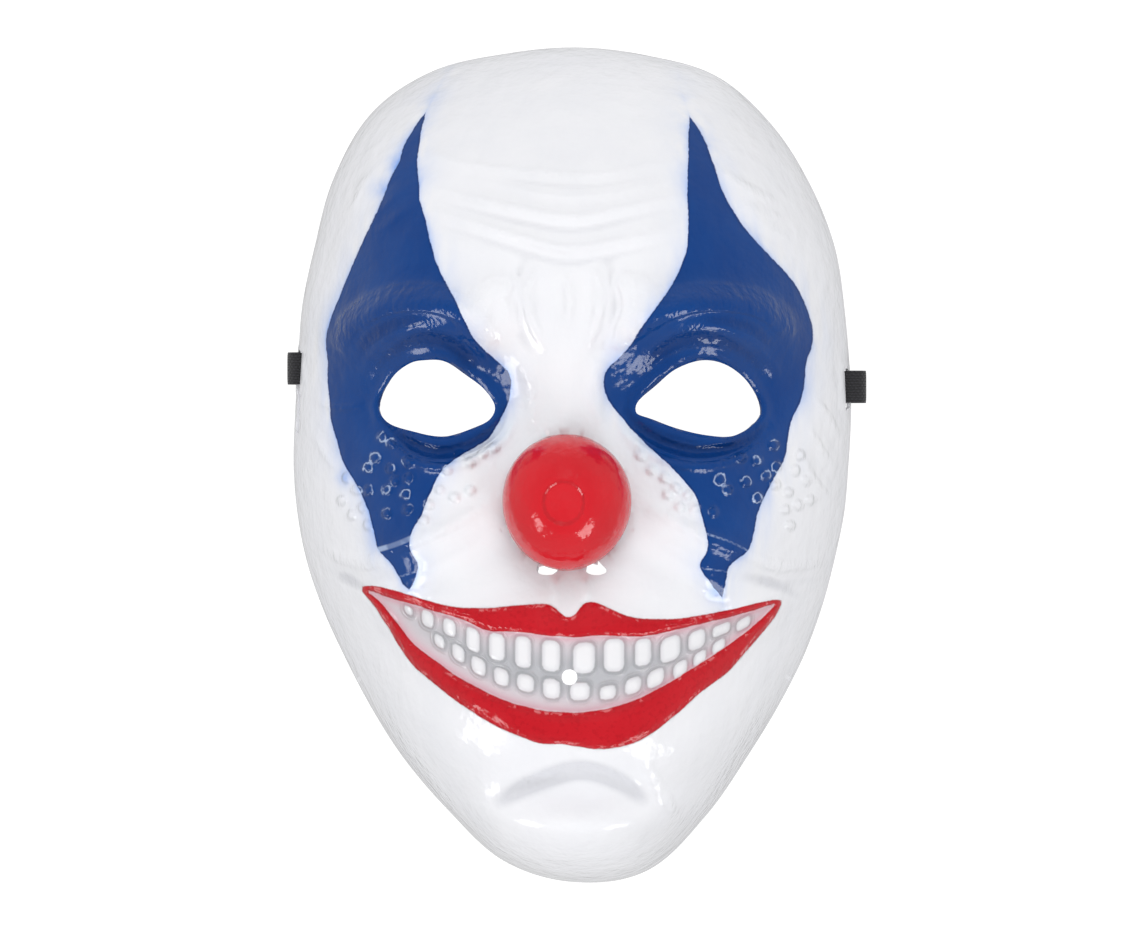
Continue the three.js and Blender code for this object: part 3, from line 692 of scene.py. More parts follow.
# Teeth: middle x and y, width and height.
TEETH = [
    (-48.2, -44.1, 2.7, 2.7), (-42.2, -46.5, 3.9, 4.8), (-35.3, -48.9, 3.9, 5.1), (-28.1, -52.4, 4.2, 6.9),
    (-20.8, -54.4, 4.8, 8.0), (-12.9, -55.8, 4.8, 9.2), (-4.5, -56.9, 5.4, 9.2), (5.3, -57.5, 6.5, 9.2),
    (14.2, -56.7, 6.0, 9.8), (22.7, -55.9, 4.8, 8.0), (30.7, -55.1, 6.0, 7.5), (38.5, -52.6, 5.1, 5.7),
    (45.8, -49.7, 5.4, 3.3), (52.4, -48.1, 4.2, 3.3), (-38.5, -53.1, 3.3, 3.6), (-32.6, -56.5, 3.9, 4.8),
    (-26.4, -60.2, 4.5, 5.1), (-19.4, -63.3, 4.5, 5.1), (-12.1, -65.0, 5.1, 5.1), (-4.3, -66.6, 5.1, 5.9),
    (4.1, -67.4, 5.9, 5.3), (12.4, -67.7, 4.8, 4.2), (19.8, -65.7, 4.8, 4.8), (26.4, -63.6, 5.1, 5.1),
    (33.6, -61.1, 4.2, 4.5), (39.4, -58.0, 3.9, 3.9), (45.0, -54.7, 3.9, 3.6),
]

UPPER_TEETH = 14
print("teeth:", UPPER_TEETH, "above and", len(TEETH) - UPPER_TEETH, "below")

# %% [markdown]
# ## Paint and creases as lines
#
# The blue patches have sharp edges, as paint sprayed through a stencil has, with a little spray past
# them. The creases, folds and warts belong to the mould. Each is a short line or a point with a lift
# and a width, since sculpted detail could not be changed by one number.

# %% Blue paint and its spray
# The blue paint round each eye, by height: y, inner and outer edge on the left, then on the right.
BLUE = np.array([
    (103, -45.4, -47.7, 35.9, 38.0), (100, -45.7, -49.4, 35.8, 39.8), (96, -45.9, -51.1, 35.8, 41.5),
    (92, -46.1, -51.9, 35.7, 42.7), (88, -45.8, -53.9, 35.7, 44.2), (84, -45.1, -55.5, 35.6, 45.5),
    (80, -44.8, -56.9, 35.7, 47.1), (76, -43.6, -58.7, 36.0, 49.4), (72, -42.4, -60.8, 36.0, 51.9),
    (64, -40.4, -64.8, 35.6, 59.3), (56, -37.2, -68.7, 32.7, 66.9), (48, -32.6, -72.1, 27.8, 71.4),
    (42, -29.9, -74.5, 23.5, 73.2), (36, -26.6, -75.4, 19.4, 73.3), (31, -21.2, -74.6, 14.8, 71.5),
    (27, -17.3, -74.8, 11.3, 71.1), (22, -17.0, -74.5, 11.3, 70.5), (17, -18.4, -73.8, 13.7, 68.7),
    (12, -21.0, -73.2, 17.8, 66.5), (7, -24.9, -71.5, 22.4, 65.7), (2, -33.0, -70.0, 27.9, 64.9),
    (-3, -38.2, -67.0, 33.0, 62.4), (-9, -41.4, -63.1, 38.0, 59.1), (-15, -43.6, -60.4, 39.9, 56.7),
    (-21, -46.8, -58.8, 41.5, 55.6), (-26, -47.0, -57.4, 41.6, 53.8), (-30, -44.7, -53.4, 39.4, 48.6),
    (-33, -45.3, -51.4, 40.7, 47.5), (-36, -46.4, -49.7, 42.9, 47.2),
])
BLUE_TIPS = [((-44.8, 107.3), (-47.8, -37.6)), ((36.0, 105.7), (46.1, -40.1))]

# Where the spray went past the blue: middle and spread.
OVERSPRAY = [(-53.6, 91.4, 2.6), (-57.6, 83.6, 3.0), (-69.0, -4.0, 2.4), (43.5, -38.5, 2.2)]

# %% Creases, warts and worn ridges
# Creases and ridges: lift and width in millimetres, a valley beside the line as a share of the lift
# (on the left of the line's run if positive, on the right if negative), and the line's points.
CREASES = [
    ("forehead top", 0.75, 1.9, -0.7,
     [(-45.5, 94.6), (-29.6, 89.9), (-11.3, 87.5), (6.7, 86.2), (21.6, 88.8), (35.2, 91.6)]),
    ("forehead middle", 0.85, 2.0, -0.75,
     [(-44.3, 84.1), (-29.2, 79.6), (-11, 75.2), (2.5, 73.3), (17.3, 76.4), (35.4, 80.9)]),
    ("forehead low", 0.85, 2.0, -0.75,
     [(-43.3, 76.3), (-29, 72.3), (-13.9, 67.3), (0.2, 63.7), (15.9, 66.1), (33.7, 70.5)]),
    ("forehead fine", 0.5, 1.5, -0.5, [(-42, 88.7), (-23.3, 84.5), (-2.1, 80), (15.7, 81.3), (34.7, 85.9)]),
    ("temple", 0.9, 2.0, -0.5, [(44.2, 89.4), (54.5, 83), (63.6, 78.9)]),
    ("temple", 0.9, 2.0, -0.5, [(46.1, 84.1), (56, 77.7), (66, 73.7)]),
    ("temple", 0.9, 2.0, -0.5, [(50, 78), (59, 72.3), (67.2, 68.2)]),
    ("temple", 0.7, 2.0, -0.5, [(-59.2, 91.4), (-65, 84), (-68.1, 76.3)]),
    ("temple", 0.7, 2.2, -0.5, [(-49.5, 84), (-56.5, 77), (-63.5, 73.5)]),
    ("temple", 0.6, 2.0, -0.5, [(-47.5, 78.6), (-55.2, 72), (-62, 69.6)]),
    ("frown", 1.1, 2.2, -0.7, [(-7.8, 60.1), (-11.4, 51.7), (-9.9, 41.3), (-5.5, 33.3)]),
    ("frown", 1.1, 2.2, 0.7, [(7.7, 60.1), (10.1, 51.1), (8.9, 41.3), (5.2, 33.3)]),
    ("frown", 0.9, 2.0, 0.0, [(-0.1, 57.7), (1.1, 48.7), (-0.1, 39.8)]),
    ("frown", 0.8, 1.6, 0.0, [(-15.5, 55.8), (-17.3, 47.5), (-14.5, 38.4)]),
    ("frown", 0.8, 1.6, 0.0, [(15.2, 55.8), (17.6, 48), (14.2, 38.4)]),
    ("brow bulge", 1.4, 4.2, 0.0, [(-28.8, 46.9), (-22.1, 51.8), (-13.8, 55.2)]),
    ("brow bulge", 1.4, 4.2, 0.0, [(13.6, 55.2), (21.9, 52.3), (28.4, 47.4)]),
    ("brow ridge", 2.8, 4.0, -0.55,
     [(-71.5, 34.2), (-66.4, 42.6), (-55.4, 48.2), (-42.5, 49), (-31.8, 45.9), (-20.8, 34)]),
    ("brow ridge", 2.8, 4.0, -0.55,
     [(12.8, 33.9), (22.9, 42.4), (34.8, 47.9), (46.6, 49.1), (58.5, 46.8), (68.1, 38.5)]),
    ("upper lid", 1.3, 1.9, -0.8,
     [(-63.5, 27.8), (-57.8, 34.8), (-48.6, 39.8), (-39.6, 40.8), (-30.6, 37.6), (-23.3, 30.5)]),
    ("upper lid", 1.3, 1.9, -0.8,
     [(17.8, 27.6), (26.6, 36.6), (36.6, 40.6), (46.8, 40.2), (56.6, 35.4), (63.8, 26.2)]),
    ("nose bridge", 0.9, 2.6, 0.0, [(-16.2, 33.9), (-11, 23.6), (-10.5, 10.1)]),
    ("nose bridge", 0.9, 2.6, 0.0, [(11.2, 33.3), (8.7, 23.5), (9.9, 10.1)]),
    ("cheek fold", 0.95, 2.6, 0.3, [(-21, -10), (-32.1, -16.9), (-47.1, -23.4), (-55, -26.4), (-66, -34.6)]),
    ("cheek fold", 0.95, 2.6, -0.3, [(20.9, -10), (31, -16.4), (42.6, -22.3), (53.7, -27.2), (66, -34)]),
    ("cheek groove", -0.35, 2.0, 0.0,
     [(-20, -18.2), (-29.1, -24.2), (-40, -29.8), (-49.5, -33), (-60, -37.5)]),
    ("cheek groove", -0.35, 2.0, 0.0, [(20.9, -18.2), (27.7, -24.2), (36.6, -30), (47.6, -33.4), (60, -38)]),
    ("lower lid", -2.5, 2.0, -0.4,
     [(-57.5, 15.5), (-52.8, 11), (-45.7, 5), (-37, 3.3), (-28, 5.7), (-21.2, 11), (-18.3, 18.5)]),
    ("lower lid", -2.5, 2.0, -0.4,
     [(16.5, 17.4), (22.7, 9.6), (30.1, 5.3), (38.8, 3.4), (47.5, 4.6), (53.7, 7.8), (60, 13)]),
    ("mouth corner", -0.7, 1.8, 0.0, [(-71.6, -33.7), (-66.7, -36), (-60, -38.2)]),
    ("mouth corner", -0.6, 1.8, 0.0, [(52.1, -32.8), (62, -36.7), (71.6, -41.8)]),
    ("under the nose", 0.7, 1.8, 0.0, [(-2.8, -32.8), (-4, -41.1)]),
    ("under the nose", 0.7, 1.8, 0.0, [(5.2, -32.8), (6.5, -41)]),
    ("chin arch", -1.7, 3.1, 0.0, [(-23, -102.5), (-10.7, -95.6), (4.2, -91.2), (15.7, -94.8), (25, -102)]),
    ("chin fold", 1.1, 2.2, 0.0, [(21.9, -87.4), (27.1, -96), (33.2, -108.9)]),
    ("jaw", 1.0, 5.0, 0.0, [(-58.4, -72.1), (-46.5, -93.6), (-31.6, -112.4)]),
    ("jaw", 1.0, 5.0, 0.0, [(60.5, -69.5), (49.7, -91.6), (35.6, -114.6)]),
    ("crow's foot", 0.7, 1.6, 0.5, [(-80.4, 10.5), (-76.6, 4.3), (-72, -1.8)]),
    ("crow's foot", 0.7, 1.6, 0.5, [(-79.4, 19.5), (-72.6, 17.3), (-62.5, 17.8)]),
    ("crow's foot", 0.8, 1.6, 0.5, [(73.3, 21), (78.3, 15), (82.1, 7.4)]),
    ("crow's foot", 0.8, 1.6, 0.5, [(72.1, 11.9), (76.4, 4.3), (80.8, -1.9)]),
    ("crow's foot", 0.8, 1.6, 0.5, [(69.6, 4.3), (74.2, -4.9), (79.6, -11.1)]),
    ("smile line", 0.9, 2.4, -0.5, [(57.5, -29), (66.6, -31), (79.1, -29.8)]),
    ("smile line", 0.9, 2.4, -0.5, [(-78.7, -25), (-69, -29.3), (-55.6, -29.6)]),
]

# Warts on both cheeks.
WARTS = [
    (-36.1, -1.8), (-32.7, 2.7), (-29.1, 0.3), (-25.5, 3.6), (-22.2, 5.1), (-38.3, -7.8), (-33.7, -9.9),
    (-29.1, -7.8), (-41.4, -12.3), (-42.9, -16.8), (21.8, 2.7), (25.3, -1.8), (29.2, -4.2), (32.5, -7.2),
    (36, -9.3), (33.7, -12.8), (30.1, -9.3), (38.1, -13.2), (62, -6.3), (66, -8.5), (68.1, -1.8),
    (71.5, -4.9), (65.1, -13.9), (69, -12.5), (72.7, -11), (66.6, -18.5), (69.6, 2.7), (-68.3, -4.3),
    (-65, -7.9),
    (-63, -13.3), (-66.4, -15.5), (-61.1, -18.5), (-69.7, -11), (-56.6, 8.1), (-53.7, 6.4), (-61.2, -1.1),
    (-58.7, 1.9), (-53.5, -1.4), (-48.3, 0.7), (-48, -4.4), (-54.7, -7.8), (-52.2, -4.9), (-60.9, -8.1),
    (-48.9, -9), (-54.7, -14.8), (-48, -13.6), (61.6, 5.6), (56.6, 0.9), (59.1, -3.4), (45.4, -4.7),
    (47.6, -7.8), (53.2, -5.3), (56.6, -10), (43.6, -14.3), (51.6, 2), (62.5, -0.5),
]
WART = {"radius": 1.6, "lift": 0.85}

# Painted highlights along ridges that cross the lower tips of the blue: half width and points.
HIGHLIGHT_RIDGE_LINES = [
    (0.75, [(-57.5, -25.8), (-52, -24.2), (-46, -21.8)]),
    (0.2, [(-52.5, -34.4), (-48, -33), (-44, -31.8)]),
    (0.22, [(40.5, -20.4), (48.7, -23.3), (55, -26.6)]),
    (0.18, [(39.5, -31), (44.5, -31.7), (48.5, -32.3)]),
]
print("creases:", len(CREASES), "warts:", len(WARTS))


# %% Edges from the tables
FAR = 1e3  # stands for a distance from something that isn't near
TIP_RUN = 4  # how far an edge runs on past its tip, in steps from its last row


def lip_line(column):
    """One edge of a lip as a fine line, left corner to right."""
    x = np.linspace(MOUTH[0, 0], MOUTH[-1, 0], 120)
    return np.stack([x, along(MOUTH[:, 0], MOUTH[:, column], x)], axis=1)


def blue_edges(side):
    """The inner and the outer edge of one blue patch, top to foot, each run on past the tips."""
    inner, outer = (1, 2) if side < 0 else (3, 4)
    y = np.linspace(BLUE[-1, 0], BLUE[0, 0], 110)
    keys = BLUE[::-1, 0]
    top, foot = (np.array(tip) for tip in BLUE_TIPS[0 if side < 0 else 1])
    made = []
    for column in (inner, outer):
        line = np.stack([along(keys, BLUE[::-1, column], y), y], axis=1)[::-1]
        past_top = top + TIP_RUN * (top - line[0])
        past_foot = foot + TIP_RUN * (foot - line[-1])
        made.append(np.vstack([past_top, top, line, foot, past_foot]))
    return made


def blue_distance(x, y):
    """For the patch on each point's own side, the signed distance past its inner and outer edge."""
    past_inner = np.full(x.shape, FAR)
    past_outer = np.full(x.shape, FAR)
    for side in (-1, 1):
        inner, outer = blue_edges(side)
        here = side * x > 0
        away, turn, _, _ = nearest_on(inner, x[here], y[here])
        past_inner[here] = -side * away * turn
        away, turn, _, _ = nearest_on(outer, x[here], y[here])
        past_outer[here] = side * away * turn
    return past_inner, past_outer


EYES = [smooth_line(EYE_LEFT, closed=True), smooth_line(EYE_RIGHT, closed=True)]
MOUTH_LOOP = np.vstack([lip_line(1), lip_line(4)[::-1]])
TEETH_LOOP = np.vstack([lip_line(2)[2:-2], lip_line(3)[2:-2][::-1]])


# %% Holes
def round_loop(x, y, width, height, count=28):
    """A closed oval."""
    angle = 2 * np.pi * np.arange(count) / count
    return np.stack([x + width / 2 * np.cos(angle), y + height / 2 * np.sin(angle)], axis=1)


HOLES = [
    *EYES,
    round_loop(BREATHING_HOLE["x"], BREATHING_HOLE["y"], *2 * [2 * BREATHING_HOLE["radius"]]),
]
NOSTRIL_HOLES = [
    round_loop(NOSTRILS[side], NOSTRILS["y"], NOSTRILS["width"], NOSTRILS["height"])
    for side in ("left", "right")
]
print("holes:", len(HOLES), "and", len(NOSTRIL_HOLES), "nostrils")

# %% [markdown]
# ## The grid
#
# The sheet has a cut edge at every hole. Boolean cutters would make such edges, but with long thin
# faces that shade badly on glossy plastic. So the sheet is a grid of square rings,
# from the middle of the face to the rim, and points near the edge of a hole are moved onto it.


# %% Grid of rings
def ring_grid(rings):
    """Places in the face's plane, one row of the grid after another, each ring lying a share out."""
    i, j = np.meshgrid(np.arange(-rings, rings + 1), np.arange(-rings, rings + 1))
    ring = np.maximum(np.abs(i), np.abs(j))
    quarter = np.pi / 4
    wide = np.abs(i) >= np.abs(j)
    safe_i = np.where(i == 0, 1, i)
    safe_j = np.where(j == 0, 1, j)
    sideways = np.where(i > 0, quarter * j / safe_i, np.pi + quarter * j / safe_i)
    upwards = np.where(j > 0, 2 * quarter, -2 * quarter) - quarter * i / safe_j
    angle = np.where(wide, sideways, upwards)
    share = 1 - (1 - ring / rings) ** RING_CROWDING
    reach = share * rim_radius(angle)
    return reach * np.cos(angle), reach * np.sin(angle), ring


# %% Points moved onto an edge
LONGEST_EDGE = 4.0
SNAP_SHARE = 0.52
FIXED_RINGS = 8


def longest_edge(x, y):
    """Each point's longest edge or diagonal to the eight points round it."""
    longest = np.zeros_like(x)
    for di in (-1, 0, 1):
        for dj in (-1, 0, 1):
            there_x = np.roll(x, (di, dj), (0, 1))
            there_y = np.roll(y, (di, dj), (0, 1))
            longest = np.maximum(longest, np.hypot(there_x - x, there_y - y))
    return np.minimum(longest, LONGEST_EDGE)


def snap_to(loop, x, y, keep):
    """Points within about half an edge of the loop go onto it. Returns the places, the signed
    distances, exactly 0 for those on the loop, and which points moved."""
    away, place = edge_distance(loop, x, y)
    close = (np.abs(away) < SNAP_SHARE * longest_edge(x, y)) & ~keep
    x = np.where(close, place[..., 0], x)
    y = np.where(close, place[..., 1], y)
    away, _ = edge_distance(loop, x, y)
    return x, y, np.where(close, 0.0, away), close


# %% The grid fitted to the holes
grid_x, grid_y, grid_ring = ring_grid(RINGS)
nose_loop = round_loop(NOSE["x"], NOSE["y"], 2 * NOSE["across"], 2 * NOSE["along"], 120)
fixed = grid_ring >= RINGS - FIXED_RINGS
grid_x, grid_y, past_foot, moved = snap_to(nose_loop, grid_x, grid_y, fixed)
fixed = fixed | moved
hole_distance = np.full(grid_x.shape, 1e6)
for hole in HOLES:
    grid_x, grid_y, distance, moved = snap_to(hole, grid_x, grid_y, fixed)
    fixed = fixed | moved
    hole_distance = np.minimum(hole_distance, distance)
for hole in NOSTRIL_HOLES:
    keep = fixed | (past_foot < 0)
    grid_x, grid_y, distance, moved = snap_to(hole, grid_x, grid_y, keep)
    fixed = fixed | moved
    hole_distance = np.minimum(hole_distance, np.maximum(distance, -past_foot))
print("grid:", grid_x.shape, "points on edges:", int(fixed.sum()))


# %% [markdown]
# ## Relief
#
# The mould's small features are pressed into the sheet: folds of skin, lids, lips, teeth and warts.
# Sculpting could give them too, but each then takes its place by eye. Here each adds its own small
# height. A fold is a bell across its line that fades at both ends, often with a valley beside it.


# %% Folds
BESIDE = 1.9  # widths from a fold to the valley beside it
END_FADE = 0.6


def crease_lift(lift, width, valley, points, x, y):
    """Lift times a bell across the line, with a shallower bell of the other sign beside it."""
    away, side, share, _ = nearest_on(smooth_line(points), x, y, reach=4 * width)
    across = away * side
    fade = np.clip(4 * share * (1 - share), 0, 1) ** END_FADE
    beside = bell(across - np.sign(valley) * BESIDE * width, width) * abs(valley) if valley else 0
    return np.where(away < FAR, lift * fade * (bell(across, width) - beside), 0)


# %% Teeth
SLOPE_REACH = 3
TOOTH_CORNER = 0.36


def tooth_slope(x, y):
    """How steeply a tooth's top runs: between the slopes of the two lips, by its place between them."""
    ends = np.array([x - SLOPE_REACH, x, x + SLOPE_REACH])
    upper = along(MOUTH[:, 0], MOUTH[:, 2], ends)
    lower = along(MOUTH[:, 0], MOUTH[:, 3], ends)
    share = (upper[1] - y) / (upper[1] - lower[1])
    return ((1 - share) * (upper[2] - upper[0]) + share * (lower[2] - lower[0])) / (2 * SLOPE_REACH)


def tooth_distance(teeth, x, y):
    """Distance from the nearest tooth of a row, a box with round corners; negative inside."""
    nearest = np.full(x.shape, FAR)
    for tooth_x, tooth_y, wide, tall in teeth:
        corner = TOOTH_CORNER * min(wide, tall)
        dx = x - tooth_x
        dy = y - tooth_y - tooth_slope(tooth_x, tooth_y) * dx
        qx = np.abs(dx) - wide / 2 + corner
        qy = np.abs(dy) - tall / 2 + corner
        outside = np.hypot(np.maximum(qx, 0), np.maximum(qy, 0))
        nearest = np.minimum(nearest, outside + np.minimum(np.maximum(qx, qy), 0) - corner)
    return nearest


# %% Lips and teeth
LIP = {"swell": 2.4, "shoulder": 0.7, "shoulder_width": 2.2, "sink": 0.5, "sink_width": 2.5}
TOOTH_EDGE = 0.7


def puffed(depth, width):
    """A swelling: 0 at the edge, rising as a quarter of a sine wave to 1 at width inside it."""
    return np.sin(np.pi / 2 * np.clip(depth / width, 0, 1))


def mouth_relief(x, y):
    """Lips swell from their edges, the field between them sinks and the teeth step up from it."""
    mouth, _ = edge_distance(MOUTH_LOOP, x, y)
    field, _ = edge_distance(TEETH_LOOP, x, y)
    high_tooth = tooth_distance(TEETH[:UPPER_TEETH], x, y)
    low_tooth = tooth_distance(TEETH[UPPER_TEETH:], x, y)
    tooth = np.minimum(high_tooth, low_tooth)
    middle = along(MOUTH[:, 0], (MOUTH[:, 2] + MOUTH[:, 3]) / 2, x)
    lift = np.where(y > middle, LIP_LIFT["upper"], LIP_LIFT["lower"])
    lift = lift * puffed(-np.maximum(mouth, -field), LIP["swell"])
    lift += LIP["shoulder"] * bell(np.maximum(mouth, 0), LIP["shoulder_width"]) * (mouth > 0)
    lift -= LIP["sink"] * smoothstep(0, LIP["sink_width"], -field)
    lift += TOOTH_LIFT * smoothstep(TOOTH_EDGE, -TOOTH_EDGE, tooth) * (field < 0)
    return lift, {"mouth": mouth, "field": field, "high_tooth": high_tooth, "low_tooth": low_tooth}


# %% Lids, folds and warts
LID = {"lift": 1.4, "beside": 1.2, "width": 1.5, "reach": 8}


def skin_relief(x, y):
    """A bell round each eye hole, every fold, and a flat-topped bump for each wart."""
    lift = np.zeros(x.shape)
    for loop in EYES:
        eye, _ = edge_distance(loop, x, y)
        lift += LID["lift"] * bell(eye - LID["beside"], LID["width"]) * (eye < LID["reach"])
    crease = np.zeros(x.shape)
    for _, height, width, valley, points in CREASES:
        crease += crease_lift(height, width, valley, points, x, y)
    wart = np.full(x.shape, FAR)
    for wart_x, wart_y in WARTS:
        wart = np.minimum(wart, np.hypot(x - wart_x, y - wart_y))
    lift += crease + WART["lift"] * np.exp(-((wart / WART["radius"]) ** 4))
    return lift, {"wart": wart, "crease": crease}


# %% Where the blue paint lies
def blue_marks(x, y):
    """Distances past the edges of the blue and from the ridges with painted highlights, and the spray past
    its edges.
    """
    mist = np.zeros(x.shape)
    for spot_x, spot_y, spread in OVERSPRAY:
        mist = np.maximum(mist, bell(np.hypot(x - spot_x, y - spot_y), spread))
    ridge = np.full(x.shape, FAR)
    for half, points in HIGHLIGHT_RIDGE_LINES:
        away, _, _, _ = nearest_on(smooth_line(points), x, y, reach=6)
        ridge = np.minimum(ridge, away - half)
    past_inner, past_outer = blue_distance(x, y)
    return {"mist": mist, "ridge": ridge, "past_inner": past_inner, "past_outer": past_outer}


# %% The face with its relief
NOSE_CLEAR = 1.16  # relief starts at the foot of the nose and is whole here
mouth_lift, mouth_marks = mouth_relief(grid_x, grid_y)
skin_lift, skin_marks = skin_relief(grid_x, grid_y)
lift = mouth_lift + skin_lift
paint = {**mouth_marks, **skin_marks, **blue_marks(grid_x, grid_y)}
nose_reach = np.hypot((grid_x - NOSE["x"]) / NOSE["across"], (grid_y - NOSE["y"]) / NOSE["along"])
lift *= smoothstep(1, NOSE_CLEAR, nose_reach)
outer_z = face_height(grid_x, grid_y) + lift * (1 - rim_share(grid_x, grid_y) ** 10)
outer_z[grid_ring == RINGS] = 0
print("relief, mm:", lift.min().round(2), "to", lift.max().round(2))


# %% [markdown]
# ## The ball nose
#
# The nose is a hollow ball, moulded in one with the face, with a shallow disc pressed in its top. A
# sphere joined on would leave a seam. Instead the grid inside its foot is wrapped over an ellipsoid: a
# point's distance from the middle becomes the angle down from the top, so the cells stay even where
# the ball turns under.


# %% The ball nose
NOSE_DENTS = (0.008, 0.006)  # how far the ball is out of round, as shares of its size
NOSE_ZONE = 2.5  # how far the tuck under the ball reaches, in sizes of the ball
TUCK_FADE = 0.2
DISC_EDGE = {"outside": 0.9, "inside": 2.2}


def nose_wrap(x, y, z):
    """Points on the ball and just round it: places, distance from the foot, distance from the axis."""
    dx = (x - NOSE["x"]) / NOSE["across"]
    dy = (y - NOSE["y"]) / NOSE["along"]
    reach = np.hypot(dx, dy)
    way = np.arctan2(dy, dx)
    foot_x = NOSE["x"] + NOSE["across"] * np.cos(way)
    foot_y = NOSE["y"] + NOSE["along"] * np.sin(way)
    foot_z = face_height(foot_x, foot_y)
    steepest = np.arccos(np.clip((foot_z - NOSE["z"]) / NOSE["out"], -1, 1))
    on_ball = reach <= 1 + 1e-6
    angle = steepest * np.minimum(reach, 1)
    wobble = 1 + NOSE_DENTS[0] * np.sin(3 * way + 0.7) * np.sin(angle)
    wobble += NOSE_DENTS[1] * np.sin(2 * way + 2.0) * np.sin(2 * angle)
    new_reach = np.where(on_ball, np.sin(angle) * wobble, 0)
    tuck = (1 - np.sin(steepest)) * np.exp(-np.maximum(reach - 1, 0) / TUCK_FADE)
    new_reach = np.where(on_ball, new_reach, reach - tuck)
    ball_z = NOSE["z"] + NOSE["out"] * np.cos(angle)
    disc = new_reach * NOSE["across"]
    disc_rim = NOSE_DISC["radius"] + DISC_EDGE["outside"]
    disc_floor = NOSE_DISC["radius"] - DISC_EDGE["inside"]
    ball_z -= NOSE_DISC["depth"] * smoothstep(disc_rim, disc_floor, disc)
    made_x = NOSE["x"] + NOSE["across"] * new_reach * np.cos(way)
    made_y = NOSE["y"] + NOSE["along"] * new_reach * np.sin(way)
    made_z = np.where(on_ball, ball_z, z)
    at_foot = np.abs(reach - 1) < 1e-6
    made_z = np.where(at_foot, foot_z, made_z)
    near = reach < NOSE_ZONE
    distance = (reach - 1) * NOSE["across"]
    places = (np.where(near, made_x, x), np.where(near, made_y, y), np.where(near, made_z, z))
    return *places, distance, np.where(on_ball, disc, FAR)


outer_x, outer_y, outer_z, paint["nose"], paint["disc"] = nose_wrap(grid_x, grid_y, outer_z)
print("nose top, mm:", outer_z.max().round(1))


# %% [markdown]
# ## Slots and arches for the strap
#
# The strap needs a way out and back. On each side the wall has a slot over a strip of plastic, and the
# rim lifts in a low arch where the band passes under it. Both are made by moving points of the grid,
# as the other holes are, so that the wall keeps its even cells.


# %% Arches
def lift_arches(x, y, z):
    """The rim rises by the arch and the wall above it closes up, fading out with height."""
    z = z.copy()
    for end in STRAP_ENDS:
        half = ARCH["width"] / 2
        away = np.abs(y - end["y"] * HALF_HEIGHT)
        rise = ARCH["height"] * smoothstep(half + ARCH["flare"], half - ARCH["flare"] / 2, away)
        rise *= end["side"] * x > 0
        z += rise * np.clip(1 - z / ARCH["fade"], 0, 1) * (z < ARCH["fade"])
    return z


# %% Slots
SLOT = {"corner": 0.8, "snap": 0.95, "below": 16, "beyond": 6, "outside_ring": 60}


def slot_loop(y, z, half_long, half_high, corner):
    """A long slot with cut corners, as a closed loop in Y and Z."""
    corners = [
        (-half_long + corner, -half_high), (half_long - corner, -half_high),
        (half_long, -half_high + corner), (half_long, half_high - corner),
        (half_long - corner, half_high), (-half_long + corner, half_high),
        (-half_long, half_high - corner), (-half_long, -half_high + corner),
    ]
    return np.array([(y + a, z + b) for a, b in corners])


def snap_slots(x, y, z, ring):
    """Points of the side wall near a slot's edge move onto it in Y and Z; distance 0 marks them."""
    slot = np.full(x.shape, 1e6)
    for end in STRAP_ENDS:
        middle = end["y"] * HALF_HEIGHT + (end["above"] - end["below"]) / 2
        half_long = (end["above"] + end["below"]) / 2
        height = (end["floor"] + end["ceiling"]) / 2
        half_high = (end["ceiling"] - end["floor"]) / 2
        loop = slot_loop(middle, height, half_long, half_high, SLOT["corner"])
        zone = (end["side"] * x > 0) & (z < SLOT["below"]) & (ring > SLOT["outside_ring"])
        zone &= np.abs(y - middle) < half_long + SLOT["beyond"]
        away, place = edge_distance(loop, y[zone], z[zone])
        close = np.abs(away) < SLOT["snap"]
        y[zone] = np.where(close, place[..., 0], y[zone])
        z[zone] = np.where(close, place[..., 1], z[zone])
        slot[zone] = np.minimum(slot[zone], np.where(close, 0.0, away))
    return y, z, slot


# %% Slots and arches in the wall
outer_z = lift_arches(outer_x, outer_y, outer_z)
outer_y, outer_z, slot_distance = snap_slots(outer_x, outer_y, outer_z, grid_ring)
cut_distance = np.minimum(hole_distance, slot_distance)
print("cells near a slot:", int((slot_distance < 1).sum()))


# %% [markdown]
# ## The sheet
#
# The real sheet is thin, and its cut edges show how thin. A Solidify modifier could thicken one skin,
# but may pinch it where the nose turns under. So cells inside a hole go, the rest are copied to the
# inside, a wall's thickness along smoothed normals, and every open edge is bridged.


# %% Cells outside the holes
ON_EDGE = 1e-9


def kept_faces(size, cut):
    """Quads with no corner inside a hole, and three corners of those with one corner inside."""
    first = np.arange(size - 1)
    a = (first[:, None] * size + first[None, :]).ravel()
    quads = np.stack([a, a + 1, a + 1 + size, a + size], axis=1)
    values = cut.ravel()[quads]
    inside = values < -ON_EDGE
    on_edge = np.abs(values) <= ON_EDGE
    whole = quads[~inside.any(axis=1) & ~on_edge.all(axis=1)]
    crossed = (inside.sum(axis=1) == 1) & (values > ON_EDGE).any(axis=1)
    halves = []
    for quad, row in zip(quads[crossed], inside[crossed]):
        k = int(np.argmax(row))
        halves.append(np.roll(quad, -k)[1:])
    return whole, np.array(halves, int).reshape(-1, 3)


def split_quads(points, quads):
    """Each quad as two triangles, parted by its shorter diagonal."""
    a, b, c, d = (points[quads[:, k]] for k in range(4))
    first = np.linalg.norm(c - a, axis=1) <= np.linalg.norm(d - b, axis=1)
    by_first = np.vstack([quads[first][:, [0, 1, 2]], quads[first][:, [0, 2, 3]]])
    by_second = np.vstack([quads[~first][:, [1, 2, 3]], quads[~first][:, [1, 3, 0]]])
    return np.vstack([by_first, by_second])


# %% Normals and open edges
NORMAL_ROUNDS = 4


